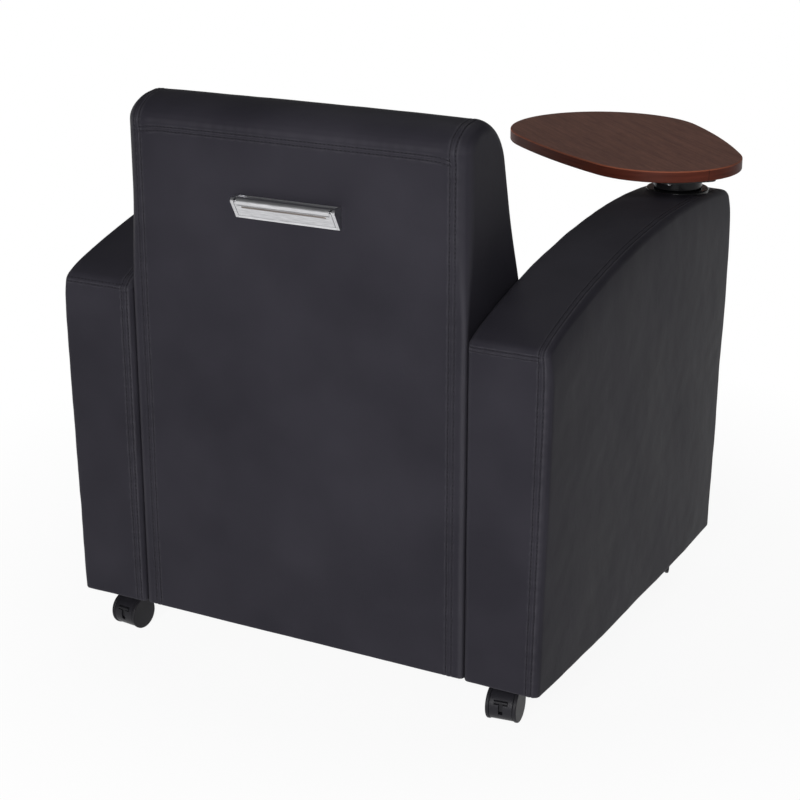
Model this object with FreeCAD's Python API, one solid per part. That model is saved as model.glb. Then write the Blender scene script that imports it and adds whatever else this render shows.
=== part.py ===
# Tablet armchair on castors, as an assembly of separate pieces in one frame.
# Millimetres. +Z is up from the floor, -Y is the front, +X is the sitter's left.
# The origin is on the floor under the middle of the whole chair's box, tablet included.
import FreeCAD, Part
import math
import os

# Overall sizes
WIDTH = 800.0
DEPTH = 706.0
UNDERSIDE = 64.0

# Upholstery layers and the gaps between sewn units
COVER_THICKNESS = 2.0
LAYER_FIT = 0.3
ARM_PAD = 15.0
SEAM_GAP = 2.0
DUST_THICKNESS = 1.0
DUST_MARGIN = 10.0
CUT_OVERRUN = 30.0

# Arms: boxes with an arched top
ARM_WIDTH = 127.0
ARM_REAR_RISE = 506.0
ARM_CREST_RISE = 593.0
ARM_CREST_SETBACK = 190.0
ARM_FOOT_DRAW = 11.0
ARM_EDGE_RADIUS = 11.0
ARM_PANEL = 9.0
ARM_RAIL_HEIGHT = 45.0
ARM_POST_DEPTH = 45.0
ARM_BATTEN = 20.0

# Back: upright rear face, leaning front face, rounded top
BACK_RISE = 785.0
BACK_RECESS = 3.0
BACK_TOP_DEPTH = 110.0
BACK_LEAN_DEG = 14.2
BACK_REAR_ROUND = 45.0
BACK_FRONT_ROUND = 62.0
BACK_SIDE_RADIUS = 22.0
BACK_FOOT_DEPTH = 88.0
BACK_REAR_PAD = 6.0
BACK_SIDE_PAD = 9.0
BACK_FRONT_PAD = 42.0
BACK_TOP_PAD = 36.0
BACK_PANEL = 6.0
BACK_POST = 32.0
BACK_RAIL_DEPTH = 25.0
BACK_RAIL_HEIGHT = 50.0
BACK_WEB_WIDTH = 50.0
BACK_WEB_THICKNESS = 2.0
BACK_WEB_RISE_SHARES = (0.365, 0.525, 0.685, 0.845)

# Seat: crowned cushion on sprung rails
SEAT_DECK = 302.0
SEAT_HEIGHT = 447.0
SEAT_CROWN = 26.0
SEAT_DRAW_IN = 3.0
SEAT_EDGE_RADIUS = 18.0
SEAT_FRONT_SETBACK = 4.0
RAIL_THICKNESS = 22.0
RAIL_STEP = 8.0
CORNER_BLOCK = 55.0
CORNER_BLOCK_HEIGHT = 40.0
SPRING_COUNT = 5
SPRING_ROWS = 21
SPRING_WIDTH = 62.0
SPRING_WIRE = 3.5
SPRING_CLIP = 12.0
SPRING_CLIP_FIT = 0.3
FRONT_PAD = 10.0
FRONT_PANEL_SETBACK = 9.0
FRONT_PANEL_RADIUS = 8.0

# Frame bolts and their barrel nuts
BOLT_DIAMETER = 8.0
BOLT_HOLE_FIT = 0.4
BOLT_HEAD_DIAMETER = 18.0
BOLT_HEAD = 4.0
NUT_DIAMETER = 16.0
NUT_LENGTH = 11.0
NUT_FIT = 0.2
BOLT_DEPTH_SHARES = (0.18, 0.74)
BOLT_RISE_SHARE = 0.55
BACK_BOLT_RISE_SHARE = 0.45

# Tablet: egg-shaped board on a stepped swivel post
TABLET_RISE = 634.0
TABLET_THICKNESS = 18.0
TABLET_LENGTH = 514.0
TABLET_BIG_RADIUS = 163.0
TABLET_SMALL_RADIUS = 128.0
TABLET_SIDE_RADIUS = 1100.0
TABLET_PIVOT_INSET = 62.0
TABLET_HEADING_DEG = -44.9
EDGE_BAND = 2.0
EDGE_BAND_ROUND = 1.5
GLUE_FIT = 0.1
PIVOT_SETBACK = 92.0
PLATE_LENGTH = 100.0
PLATE_WIDTH = 90.0
PLATE_THICKNESS = 4.0
PLATE_CORNER = 12.0
HUB_DIAMETER = 76.0
HUB_ROUND = 2.0
FLANGE_DIAMETER = 97.0
FLANGE_LIP = 6.0
FLANGE_ROUND = 2.0
FLANGE_FIT = 0.3
HUB_GAP = 0.5
SPINDLE_DIAMETER = 28.0
SPINDLE_DEPTH = 105.0
RUNNING_FIT = 0.05
SOCKET_DIAMETER = 42.0
SOCKET_WALL = 3.0
SOCKET_COLLAR_DIAMETER = 72.0
SOCKET_COLLAR = 5.0
SOCKET_FIT = 0.2
BUSH_LENGTH = 22.0
POCKET_DIAMETER = 80.0
PIVOT_BLOCK_DEPTH = 112.0
PIVOT_BLOCK_HEIGHT = 150.0

# Wood screws
SCREW_DIAMETER = 4.0
SCREW_HEAD_DIAMETER = 8.0
SCREW_HEAD = 2.2
SCREW_LENGTH = 25.0
TABLET_SCREW_LENGTH = 13.0
HANDLE_SCREW_LENGTH = 32.0
SCREW_FIT = 0.1

# Pull handle on the rear of the back: a wedge-shaped tray and a hinged grip
HANDLE_LENGTH = 166.0
HANDLE_RISE = 631.0
HANDLE_HEIGHT = 31.0
HANDLE_TOP_OUT = 20.5
HANDLE_FOOT_OUT = 6.0
HANDLE_CHEEK = 5.0
HANDLE_WALL = 2.0
HANDLE_LIP = 3.0
GRIP_RADIUS = 6.0
GRIP_PLATE = 2.5
GRIP_GAP = 4.0
BLADE_GAP = 0.8
GRIP_LIP_GAP = 1.0
PIN_DIAMETER = 3.0
PIN_HOLD = 3.0
HANDLE_FIT = 0.3

# Castors: twin wheels under a hood with a brake lever
CASTER_SIDE_SETBACK = 78.0
CASTER_REAR_SETBACK = 53.0
CASTER_FRONT_SETBACK = 78.0
WHEEL_DIAMETER = 50.0
WHEEL_RIM = 5.5
WHEEL_RIM_ROUND = 1.8
WHEEL_HUB_DIAMETER = 38.0
WHEEL_WEB_GAP = 0.5
WHEEL_SIDE_GAP = 0.5
WHEEL_CAP = 2.5
HOOD_DIAMETER = 48.0
HOOD_WALL = 2.2
HOOD_WIDTH = 34.0
HOOD_WEB = 5.6
HOOD_FLOOR_GAP = 6.0
CASTER_TRAIL = 17.0
AXLE_DIAMETER = 6.0
BOSS_DIAMETER = 17.0
KINGPIN_DIAMETER = 8.0
KINGPIN_DEPTH = 13.0
KINGPIN_END_GAP = 0.5
SHOULDER_DIAMETER = 17.0
SHOULDER = 2.0
SHOULDER_GAP = 0.3
CASTER_PLATE = 46.0
CASTER_PLATE_THICKNESS = 2.5
CASTER_PLATE_CORNER = 5.0
CASTER_SCREW_SPACING = 33.0
BRAKE_RISE = 10.0
BRAKE_BAR = 20.0
BRAKE_BAR_DIAMETER = 5.0
BRAKE_STEM_WIDTH = 5.4
BRAKE_STEM_LENGTH = 13.5
BRAKE_FOOT_HOLE = 4.5
BRAKE_STEM_THICKNESS = 2.6
BRAKE_PROUD = 1.2
BRAKE_FIT = 0.5
BRAKE_NOTCH = 6.0
CASTER_YAWS_DEG = {
    "rear_right": 7.0,
    "rear_left": -6.0,
    "front_right": 25.0,
    "front_left": -14.0,
}

# Values that follow from the sizes above
REAR = DEPTH / 2
FRONT = -DEPTH / 2
ARM_X = WIDTH / 2 - ARM_WIDTH / 2
SEAT_HALF = WIDTH / 2 - ARM_WIDTH - SEAM_GAP
ARM_RUN = DEPTH - ARM_CREST_SETBACK
ARM_DROP = ARM_CREST_RISE - ARM_REAR_RISE
ARM_ARC_RADIUS = (ARM_RUN**2 + ARM_DROP**2) / (2 * ARM_DROP)
ARM_CREST_Y = FRONT + ARM_CREST_SETBACK
ARM_ARC_Z = UNDERSIDE + ARM_CREST_RISE - ARM_ARC_RADIUS
PAD_INSET = COVER_THICKNESS + LAYER_FIT
ARM_CORE_INSET = PAD_INSET + ARM_PAD + LAYER_FIT
ARM_CORE_HALF = ARM_WIDTH / 2 - ARM_CORE_INSET
ARM_CORE_OUT = ARM_CORE_HALF - ARM_FOOT_DRAW
BACK_REAR = REAR - BACK_RECESS
BACK_TOP = UNDERSIDE + BACK_RISE
BACK_SLOPE = math.tan(math.radians(BACK_LEAN_DEG))
BACK_COS = math.cos(math.radians(BACK_LEAN_DEG))
BACK_FOOT_FRONT = BACK_REAR - BACK_FOOT_DEPTH
RAIL_FRONT = FRONT + FRONT_PANEL_SETBACK + COVER_THICKNESS + LAYER_FIT + FRONT_PAD + LAYER_FIT
RAIL_REAR = BACK_FOOT_FRONT - SEAM_GAP
TABLET_TOP = UNDERSIDE + TABLET_RISE
TABLET_LOW = TABLET_TOP - TABLET_THICKNESS
PIVOT_X = -ARM_X
PIVOT_Y = FRONT + PIVOT_SETBACK
PLATE_LOW = TABLET_LOW - PLATE_THICKNESS
AXLE_Z = WHEEL_DIAMETER / 2
PLATE_TOP = UNDERSIDE - DUST_THICKNESS
BOSS_TOP = PLATE_TOP - CASTER_PLATE_THICKNESS - SHOULDER - SHOULDER_GAP

# The four corners of a square, in order around it
SQUARE = ((-1, -1), (1, -1), (1, 1), (-1, 1))


def vec(x, y, z):
    return FreeCAD.Vector(x, y, z)


def block(x0, x1, y0, y1, z0, z1):
    return Part.makeBox(x1 - x0, y1 - y0, z1 - z0, vec(x0, y0, z0))


def rod(radius, start, end):
    return Part.makeCylinder(radius, (end - start).Length, start, end - start)


def group(solids):
    return Part.Compound(list(solids))


def cut_all(shape, tools):
    for tool in tools:
        shape = shape.cut(tool)
    return shape


def wire(corners, place):
    # A closed outline through (u, v, radius) corners, each rounded by its radius.
    points = [FreeCAD.Vector(u, v, 0) for u, v, radius in corners]
    ends = []
    for i, (u, v, radius) in enumerate(corners):
        here = points[i]
        back = (points[i - 1] - here).normalize()
        ahead = (points[(i + 1) % len(points)] - here).normalize()
        half = back.getAngle(ahead) / 2
        if radius <= 0:
            ends.append((here, here, here))
            continue
        reach = radius / math.tan(half)
        bisector = (back + ahead).normalize()
        middle = here + bisector * (radius / math.sin(half) - radius)
        ends.append((here + back * reach, middle, here + ahead * reach))
    edges = []
    for i, (first, middle, last) in enumerate(ends):
        if corners[i][2] > 0:
            arc = Part.Arc(place(first.x, first.y), place(middle.x, middle.y), place(last.x, last.y))
            edges.append(arc.toShape())
        following = ends[(i + 1) % len(ends)][0]
        if (following - last).Length > RUNNING_FIT:
            edges.append(Part.makeLine(place(last.x, last.y), place(following.x, following.y)))
    return Part.Wire(edges)


def prism_x(corners, x0, x1):
    face = Part.Face(wire(corners, lambda u, v: vec(x0, u, v)))
    return face.extrude(vec(x1 - x0, 0, 0))


def prism_z(corners, z0, z1):
    face = Part.Face(wire(corners, lambda u, v: vec(u, v, z0)))
    return face.extrude(vec(0, 0, z1 - z0))


def edges_above(shape, level):
    # Edges that do not lie in the plane z = level.
    return [e for e in shape.Edges if e.BoundBox.ZMax > level + LAYER_FIT]


# Arms

def arm_top(y, inset):
    return ARM_ARC_Z + math.sqrt((ARM_ARC_RADIUS - inset) ** 2 - (y - ARM_CREST_Y) ** 2)


def arm_form(inset, end_inset, base, x0, x1):
    # The arched side view from x0 to x1: the inset draws in the arc, the end inset the front and rear.
    y0 = FRONT + end_inset
    y1 = REAR - end_inset
    crest = vec(x0, ARM_CREST_Y, arm_top(ARM_CREST_Y, inset))
    rear_top = vec(x0, y1, arm_top(y1, inset))
    front_top = vec(x0, y0, arm_top(y0, inset))
    edges = [
        Part.makeLine(vec(x0, y1, base), rear_top),
        Part.Arc(rear_top, crest, front_top).toShape(),
        Part.makeLine(front_top, vec(x0, y0, base)),
        Part.makeLine(vec(x0, y0, base), vec(x0, y1, base)),
    ]
    return Part.Face(Part.Wire(edges)).extrude(vec(x1 - x0, 0, 0))


def outer_lean(z):
    # How far the arm's outer face has drawn in at height z on its way down to the foot.
    return ARM_FOOT_DRAW * (UNDERSIDE + ARM_CREST_RISE - z) / ARM_CREST_RISE


def arm_block(inset, base):
    # The left arm's outside about its own middle, drawn in by the inset on every side but the base.
    half = ARM_WIDTH / 2 - inset
    solid = arm_form(inset, inset, base, -half, half + CUT_OVERRUN)
    low = base - CUT_OVERRUN
    far = half + 2 * CUT_OVERRUN
    corners = [
        (half - outer_lean(low), low, 0),
        (half - outer_lean(BACK_TOP), BACK_TOP, 0),
        (far, BACK_TOP, 0),
        (far, low, 0),
    ]
    outside = Part.Face(wire(corners, lambda u, v: vec(u, FRONT - CUT_OVERRUN, v)))
    solid = solid.cut(outside.extrude(vec(0, DEPTH + 2 * CUT_OVERRUN, 0)))
    radius = ARM_EDGE_RADIUS - max(inset, 0)
    if radius > LAYER_FIT:
        solid = solid.makeFillet(radius, edges_above(solid, base))
    return solid


def mirrored(shape):
    return shape.mirror(vec(0, 0, 0), vec(1, 0, 0))


def arm_pieces(side, cuts):
    # Cover, foam, panels and rails of one arm: side is 1 for the left arm, -1 for the right.
    below = UNDERSIDE - CUT_OVERRUN
    cover = arm_block(0, UNDERSIDE).cut(arm_block(COVER_THICKNESS, below))
    pad_inset = PAD_INSET + ARM_PAD
    pad_space = arm_form(pad_inset, pad_inset, below, -ARM_CORE_HALF - LAYER_FIT, ARM_CORE_OUT + LAYER_FIT)
    pad = arm_block(PAD_INSET, UNDERSIDE).cut(pad_space)
    in_face = -ARM_CORE_HALF + ARM_PANEL
    out_face = ARM_CORE_OUT - ARM_PANEL
    panels = [
        arm_form(ARM_CORE_INSET, ARM_CORE_INSET, UNDERSIDE, -ARM_CORE_HALF, in_face),
        arm_form(ARM_CORE_INSET, ARM_CORE_INSET, UNDERSIDE, out_face, ARM_CORE_OUT),
    ]
    middle = arm_form(ARM_CORE_INSET, ARM_CORE_INSET, UNDERSIDE, in_face, out_face)
    hollow = arm_form(ARM_CORE_INSET + ARM_BATTEN, 0, 0, in_face, out_face)
    y0 = FRONT + ARM_CORE_INSET
    y1 = REAR - ARM_CORE_INSET
    rail_top = UNDERSIDE + ARM_RAIL_HEIGHT
    under_batten = middle.common(hollow)
    rails = [
        block(in_face, out_face, y0, y1, UNDERSIDE, rail_top),
        middle.cut(hollow),
        under_batten.common(block(in_face, out_face, y0, y0 + ARM_POST_DEPTH, rail_top, BACK_TOP)),
        under_batten.common(block(in_face, out_face, y1 - ARM_POST_DEPTH, y1, rail_top, BACK_TOP)),
    ]
    shapes = [cover, pad, group(panels), group(rails)]
    if side < 0:
        shapes = [mirrored(shape) for shape in shapes]
    shapes = [shape.translated(vec(side * ARM_X, 0, 0)) for shape in shapes]
    return [cut_all(shape, cuts) for shape in shapes]


# Back

def back_front(z, inset):
    # Y of the leaning front face at height z, drawn in by the inset.
    return BACK_REAR - BACK_TOP_DEPTH - (BACK_TOP - z) * BACK_SLOPE + inset / BACK_COS


def back_block(rear, front, top, side, deck, foot, base, round_share):
    # The back's form with each face drawn in by its own inset.
    y_rear = BACK_REAR - rear
    z_top = BACK_TOP - top
    z_deck = SEAT_DECK + deck
    corners = [
        (y_rear, base, 0),
        (y_rear, z_top, max(BACK_REAR_ROUND - rear, 0) * round_share),
        (back_front(z_top, front), z_top, max(BACK_FRONT_ROUND - front, 0) * round_share),
        (back_front(z_deck, front), z_deck, 0),
        (BACK_FOOT_FRONT + foot, z_deck, 0),
        (BACK_FOOT_FRONT + foot, base, 0),
    ]
    half = SEAT_HALF - side
    solid = prism_x(corners, -half, half)
    radius = BACK_SIDE_RADIUS - side
    if radius > LAYER_FIT and round_share > 0:
        chain = []
        for e in solid.Edges:
            box = e.BoundBox
            on_side = box.XMax - box.XMin < LAYER_FIT
            shown = box.ZMax > z_deck + LAYER_FIT or box.YMin > y_rear - LAYER_FIT
            if on_side and shown and box.ZMax > base + LAYER_FIT:
                chain.append(e)
        solid = solid.makeFillet(radius, chain)
    return solid


def even_back(inset, base):
    return back_block(inset, inset, inset, inset, inset, inset, base, 1)


# Seat

def seat_block(inset, base):
    # Cushion: a crowned top, sides drawn in between the corners, rear face along the back's lean.
    half = SEAT_HALF - inset
    y0 = FRONT + SEAT_FRONT_SETBACK + inset
    rear_low = back_front(base, 0) - (SEAM_GAP + inset) / BACK_COS
    rear_top = back_front(SEAT_HEIGHT, 0) - (SEAM_GAP + inset) / BACK_COS
    corners = [(y0, base, 0), (y0, SEAT_HEIGHT, 0), (rear_top, SEAT_HEIGHT, 0), (rear_low, base, 0)]
    side_view = prism_x(corners, -half, half)
    y1 = max(rear_low, rear_top)
    middle = (y0 + y1) / 2
    turns = [
        (vec(-half, y0, base), vec(0, y0 + SEAT_DRAW_IN, base), vec(half, y0, base)),
        (vec(half, y0, base), vec(half - SEAT_DRAW_IN, middle, base), vec(half, y1, base)),
        (vec(half, y1, base), None, vec(-half, y1, base)),
        (vec(-half, y1, base), vec(-half + SEAT_DRAW_IN, middle, base), vec(-half, y0, base)),
    ]
    edges = []
    for first, bend, last in turns:
        if bend is None:
            edges.append(Part.makeLine(first, last))
        else:
            edges.append(Part.Arc(first, bend, last).toShape())
    plan = Part.Face(Part.Wire(edges)).extrude(vec(0, 0, SEAT_HEIGHT - base))
    reach = math.hypot(SEAT_HALF, (y1 - y0) / 2)
    radius = (reach**2 + SEAT_CROWN**2) / (2 * SEAT_CROWN)
    ball = Part.makeSphere(radius - inset, vec(0, middle, SEAT_HEIGHT - radius))
    solid = side_view.common(plan).common(ball)
    edge = SEAT_EDGE_RADIUS - inset
    if edge > LAYER_FIT:
        solid = solid.makeFillet(edge, edges_above(solid, base))
    return solid


def spring(x, y0, y1, z):
    # One zigzag wire spring: straight rows across, joined by half turns.
    pitch = (y1 - y0) / (SPRING_ROWS - 1)
    half = (SPRING_WIDTH - pitch) / 2
    edges = []
    for row in range(SPRING_ROWS):
        y = y0 + row * pitch
        side = 1 if row % 2 == 0 else -1
        edges.append(Part.makeLine(vec(x - side * half, y, z), vec(x + side * half, y, z)))
        if row < SPRING_ROWS - 1:
            bend = vec(x + side * (half + pitch / 2), y + pitch / 2, z)
            arc = Part.Arc(vec(x + side * half, y, z), bend, vec(x + side * half, y + pitch, z))
            edges.append(arc.toShape())
    path = Part.Wire(edges)
    circle = Part.Circle(vec(x - half, y0, z), vec(1, 0, 0), SPRING_WIRE / 2)
    return path.makePipeShell([Part.Wire([circle.toShape()])], True, True)


# Fasteners

def screw(point, axis, length):
    # A round-headed screw: the head's underside at the point, the shank along the axis.
    axis = axis.normalize()
    shank = rod(SCREW_DIAMETER / 2, point, point + axis * length)
    head = rod(SCREW_HEAD_DIAMETER / 2, point - axis * SCREW_HEAD, point)
    return shank.fuse(head).removeSplitter()


def screw_hole(point, axis, length):
    axis = axis.normalize()
    return rod(SCREW_DIAMETER / 2 + SCREW_FIT, point - axis * SCREW_FIT, point + axis * (length + SCREW_FIT))


def frame_bolt(point, axis, length):
    # Head at the point, shank along the axis into a round nut near its end.
    shank = rod(BOLT_DIAMETER / 2, point, point + axis * length)
    head = rod(BOLT_HEAD_DIAMETER / 2, point - axis * BOLT_HEAD, point)
    nut = rod(NUT_DIAMETER / 2, point + axis * (length - NUT_LENGTH), point + axis * length)
    nut = nut.cut(rod(BOLT_DIAMETER / 2, point, point + axis * (length + CUT_OVERRUN)))
    return shank.fuse(head).removeSplitter(), nut


def frame_bolt_hole(point, axis, length):
    hole = rod(BOLT_DIAMETER / 2 + BOLT_HOLE_FIT, point, point + axis * (length + BOLT_HOLE_FIT))
    seat = rod(
        NUT_DIAMETER / 2 + NUT_FIT,
        point + axis * (length - NUT_LENGTH - NUT_FIT),
        point + axis * (length + BOLT_HOLE_FIT),
    )
    return hole.fuse(seat)


nodes = {}

# Bolts that join the arms and the back to the seat rails
side_bolt_length = RAIL_THICKNESS + SEAM_GAP + ARM_CORE_INSET + ARM_PANEL + NUT_LENGTH
bolt_z = UNDERSIDE + (SEAT_DECK - UNDERSIDE) * BOLT_RISE_SHARE
rear_bolt_z = UNDERSIDE + BACK_RAIL_HEIGHT * BACK_BOLT_RISE_SHARE
rail_inner = SEAT_HALF - RAIL_THICKNESS
bolt_seats = []
for side in (-1, 1):
    for share in BOLT_DEPTH_SHARES:
        y = RAIL_FRONT + (RAIL_REAR - RAIL_FRONT) * share
        bolt_seats.append((vec(side * rail_inner, y, bolt_z), vec(side, 0, 0), side_bolt_length))
back_bolt_x = SEAT_HALF / 2
back_rail_front = BACK_FOOT_FRONT + PAD_INSET + BACK_REAR_PAD + LAYER_FIT
rear_bolt_length = back_rail_front + BACK_RAIL_DEPTH - (RAIL_REAR - RAIL_THICKNESS)
for side in (-1, 1):
    start = vec(side * back_bolt_x, RAIL_REAR - RAIL_THICKNESS, rear_bolt_z)
    bolt_seats.append((start, vec(0, 1, 0), rear_bolt_length))
bolts = []
nuts = []
bolt_holes = []
for point, axis, length in bolt_seats:
    bolt, nut = frame_bolt(point, axis, length)
    bolts.append(bolt)
    nuts.append(nut)
    bolt_holes.append(frame_bolt_hole(point, axis, length))
nodes["frame_bolts"] = group(bolts)
nodes["frame_nuts"] = group(nuts)

# Castor plates, their kingpins and screws
caster_places = {}
for name, yaw in CASTER_YAWS_DEG.items():
    x = WIDTH / 2 - CASTER_SIDE_SETBACK
    if name.endswith("right"):
        x = -x
    y = REAR - CASTER_REAR_SETBACK
    if name.startswith("front"):
        y = FRONT + CASTER_FRONT_SETBACK
    caster_places[name] = (x, y, yaw)
caster_plates = []
caster_screws = []
caster_holes = []
for x, y, yaw in caster_places.values():
    half = CASTER_PLATE / 2
    low = PLATE_TOP - CASTER_PLATE_THICKNESS
    corners = [(x + sx * half, y + sy * half, CASTER_PLATE_CORNER) for sx, sy in SQUARE]
    plate = prism_z(corners, low, PLATE_TOP)
    shoulder = rod(SHOULDER_DIAMETER / 2, vec(x, y, low - SHOULDER), vec(x, y, low))
    pin = rod(KINGPIN_DIAMETER / 2, vec(x, y, BOSS_TOP - KINGPIN_DEPTH), vec(x, y, low))
    plate = plate.fuse(shoulder).fuse(pin).removeSplitter()
    for sx, sy in SQUARE:
        seat = vec(x + sx * CASTER_SCREW_SPACING / 2, y + sy * CASTER_SCREW_SPACING / 2, low)
        caster_screws.append(screw(seat, vec(0, 0, 1), SCREW_LENGTH))
        caster_holes.append(screw_hole(seat, vec(0, 0, 1), SCREW_LENGTH))
        plate = plate.cut(caster_holes[-1])
    caster_plates.append(plate)
nodes["caster_plates"] = group(caster_plates)

# Swivel post of the tablet: pocket, block, socket, bushes and flange in the right arm
core_front = FRONT + ARM_CORE_INSET
block_rear = PIVOT_Y + PIVOT_BLOCK_DEPTH / 2
block_out = PIVOT_X - ARM_CORE_OUT + ARM_PANEL
block_in = PIVOT_X + ARM_CORE_HALF - ARM_PANEL
seat_z = min(arm_top(core_front, ARM_CORE_INSET), arm_top(block_rear, ARM_CORE_INSET))
pivot_low = seat_z - PIVOT_BLOCK_HEIGHT
pivot_box = block(block_out, block_in, core_front, block_rear, pivot_low, seat_z)
pivot_space = block(block_out, block_in, core_front - CUT_OVERRUN, block_rear, pivot_low, BACK_TOP)


def axis_at(z):
    return vec(PIVOT_X, PIVOT_Y, z)


pocket = rod(POCKET_DIAMETER / 2, axis_at(seat_z), axis_at(BACK_TOP))
spindle_low = seat_z - SPINDLE_DEPTH
socket_low = spindle_low - SOCKET_FIT - SOCKET_WALL
socket = rod(SOCKET_DIAMETER / 2, axis_at(socket_low), axis_at(seat_z))
socket = socket.fuse(rod(SOCKET_COLLAR_DIAMETER / 2, axis_at(seat_z), axis_at(seat_z + SOCKET_COLLAR)))
bore_radius = SOCKET_DIAMETER / 2 - SOCKET_WALL
bore = rod(bore_radius, axis_at(socket_low + SOCKET_WALL), axis_at(seat_z + SOCKET_COLLAR))
socket = socket.cut(bore).removeSplitter()
bushes = []
for low in (socket_low + SOCKET_WALL, seat_z + SOCKET_COLLAR - BUSH_LENGTH):
    ring = rod(bore_radius, axis_at(low), axis_at(low + BUSH_LENGTH))
    hole = rod(SPINDLE_DIAMETER / 2 + RUNNING_FIT, axis_at(low), axis_at(low + BUSH_LENGTH))
    bushes.append(ring.cut(hole))
collar_screw_radius = (SOCKET_DIAMETER + SOCKET_COLLAR_DIAMETER) / 4
socket_screws = []
socket_holes = []
for turn in range(4):
    angle = math.radians(45 + 90 * turn)
    seat = vec(
        PIVOT_X + collar_screw_radius * math.cos(angle),
        PIVOT_Y + collar_screw_radius * math.sin(angle),
        seat_z + SOCKET_COLLAR,
    )
    socket_screws.append(screw(seat, vec(0, 0, -1), SCREW_LENGTH))
    socket_holes.append(screw_hole(seat, vec(0, 0, -1), SCREW_LENGTH))
nodes["pivot_socket"] = cut_all(socket, socket_holes)
nodes["pivot_bushes"] = group(bushes)
nodes["frame_screws"] = group(caster_screws + socket_screws)
socket_end = axis_at(seat_z + CUT_OVERRUN)
socket_space = rod(SOCKET_DIAMETER / 2 + SOCKET_FIT, axis_at(socket_low - SOCKET_FIT), socket_end)
nodes["pivot_block"] = cut_all(pivot_box.cut(socket_space), socket_holes)
flange_top = arm_top(PIVOT_Y, 0) + FLANGE_LIP
flange = rod(FLANGE_DIAMETER / 2, axis_at(seat_z), axis_at(flange_top))
top_edge = [e for e in flange.Edges if e.BoundBox.ZMin > flange_top - LAYER_FIT]
flange = flange.makeFillet(FLANGE_ROUND, top_edge)
flange = flange.cut(mirrored(arm_block(-FLANGE_FIT, UNDERSIDE)).translated(vec(PIVOT_X, 0, 0)))
flange_bore = rod(SPINDLE_DIAMETER / 2 + BOLT_HOLE_FIT, axis_at(seat_z), axis_at(flange_top + CUT_OVERRUN))
nodes["pivot_flange"] = flange.cut(flange_bore)

# Arms
left = arm_pieces(1, bolt_holes + caster_holes)
right = arm_pieces(-1, bolt_holes + caster_holes + [pocket])
right[3] = right[3].cut(pivot_space)
for side, pieces in (("left", left), ("right", right)):
    for name, shape in zip(("cover", "foam", "panels", "rails"), pieces):
        nodes[side + "_arm_" + name] = shape

# Back: handle screws are placed first, since the back is drilled for them
handle_z = UNDERSIDE + HANDLE_RISE
hinge_y = BACK_REAR + HANDLE_TOP_OUT - GRIP_RADIUS
hinge_z = handle_z + HANDLE_HEIGHT - GRIP_RADIUS
handle_screws = []
handle_holes = []
screw_z = handle_z + HANDLE_HEIGHT / 2
tray_back = BACK_REAR + HANDLE_FIT + HANDLE_WALL
for side in (-1, 1):
    seat = vec(side * HANDLE_LENGTH / 4, tray_back, screw_z)
    handle_screws.append(screw(seat, vec(0, -1, 0), HANDLE_SCREW_LENGTH))
    handle_holes.append(screw_hole(seat, vec(0, -1, 0), HANDLE_SCREW_LENGTH))
nodes["handle_screws"] = group(handle_screws)
below = UNDERSIDE - CUT_OVERRUN
back_cover = even_back(0, UNDERSIDE).cut(even_back(COVER_THICKNESS, below))
nodes["back_cover"] = cut_all(back_cover, bolt_holes + handle_holes)
core_rear = PAD_INSET + BACK_REAR_PAD + LAYER_FIT
core_front_inset = PAD_INSET + BACK_FRONT_PAD + LAYER_FIT + BACK_WEB_THICKNESS
core_side = PAD_INSET + BACK_SIDE_PAD + LAYER_FIT
core_top = PAD_INSET + BACK_TOP_PAD + LAYER_FIT
pad_space = back_block(
    core_rear - LAYER_FIT,
    core_front_inset - BACK_WEB_THICKNESS - LAYER_FIT,
    core_top - LAYER_FIT,
    core_side - LAYER_FIT,
    core_rear - LAYER_FIT,
    core_rear - LAYER_FIT,
    below,
    0,
)
back_foam = even_back(PAD_INSET, UNDERSIDE).cut(pad_space)
nodes["back_foam"] = cut_all(back_foam, bolt_holes + handle_holes)
core = back_block(core_rear, core_front_inset, core_top, core_side, core_rear, core_rear, UNDERSIDE, 0)
core_half = SEAT_HALF - core_side
post_in = core_half - BACK_POST
panel_front = BACK_REAR - core_rear - BACK_PANEL
far_front = back_front(SEAT_DECK, 0)
panel = core.common(block(-core_half, core_half, panel_front, REAR, UNDERSIDE, BACK_TOP))
frame_space = core.cut(block(-WIDTH, WIDTH, panel_front, REAR + CUT_OVERRUN, below, BACK_TOP))
posts = []
for side in (-1, 1):
    x0 = min(side * post_in, side * core_half)
    posts.append(frame_space.common(block(x0, x0 + BACK_POST, far_front, panel_front, UNDERSIDE, BACK_TOP)))
rail_rear = panel_front
core_top_z = BACK_TOP - core_top


def back_rail(y, z):
    # A cross rail between the posts, its front lower edge at y and z.
    return block(-post_in, post_in, y, y + BACK_RAIL_DEPTH, z, z + BACK_RAIL_HEIGHT)


cross_rails = [
    back_rail(rail_rear - BACK_RAIL_DEPTH, core_top_z - BACK_RAIL_HEIGHT),
    back_rail(rail_rear - BACK_RAIL_DEPTH, screw_z - BACK_RAIL_HEIGHT / 2),
    back_rail(rail_rear - BACK_RAIL_DEPTH, SEAT_DECK),
    back_rail(back_rail_front, UNDERSIDE),
]
nodes["back_panel"] = cut_all(panel, handle_holes)
nodes["back_frame"] = cut_all(group(posts + cross_rails), bolt_holes + handle_holes)
straps = []
for share in BACK_WEB_RISE_SHARES:
    z = UNDERSIDE + BACK_RISE * share
    rise = BACK_WEB_WIDTH * BACK_COS / 2
    outer = core_front_inset - BACK_WEB_THICKNESS
    corners = [
        (back_front(z - rise, outer), z - rise, 0),
        (back_front(z - rise, core_front_inset), z - rise, 0),
        (back_front(z + rise, core_front_inset), z + rise, 0),
        (back_front(z + rise, outer), z + rise, 0),
    ]
    straps.append(prism_x(corners, -core_half, core_half))
nodes["back_webbing"] = group(straps)

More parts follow.
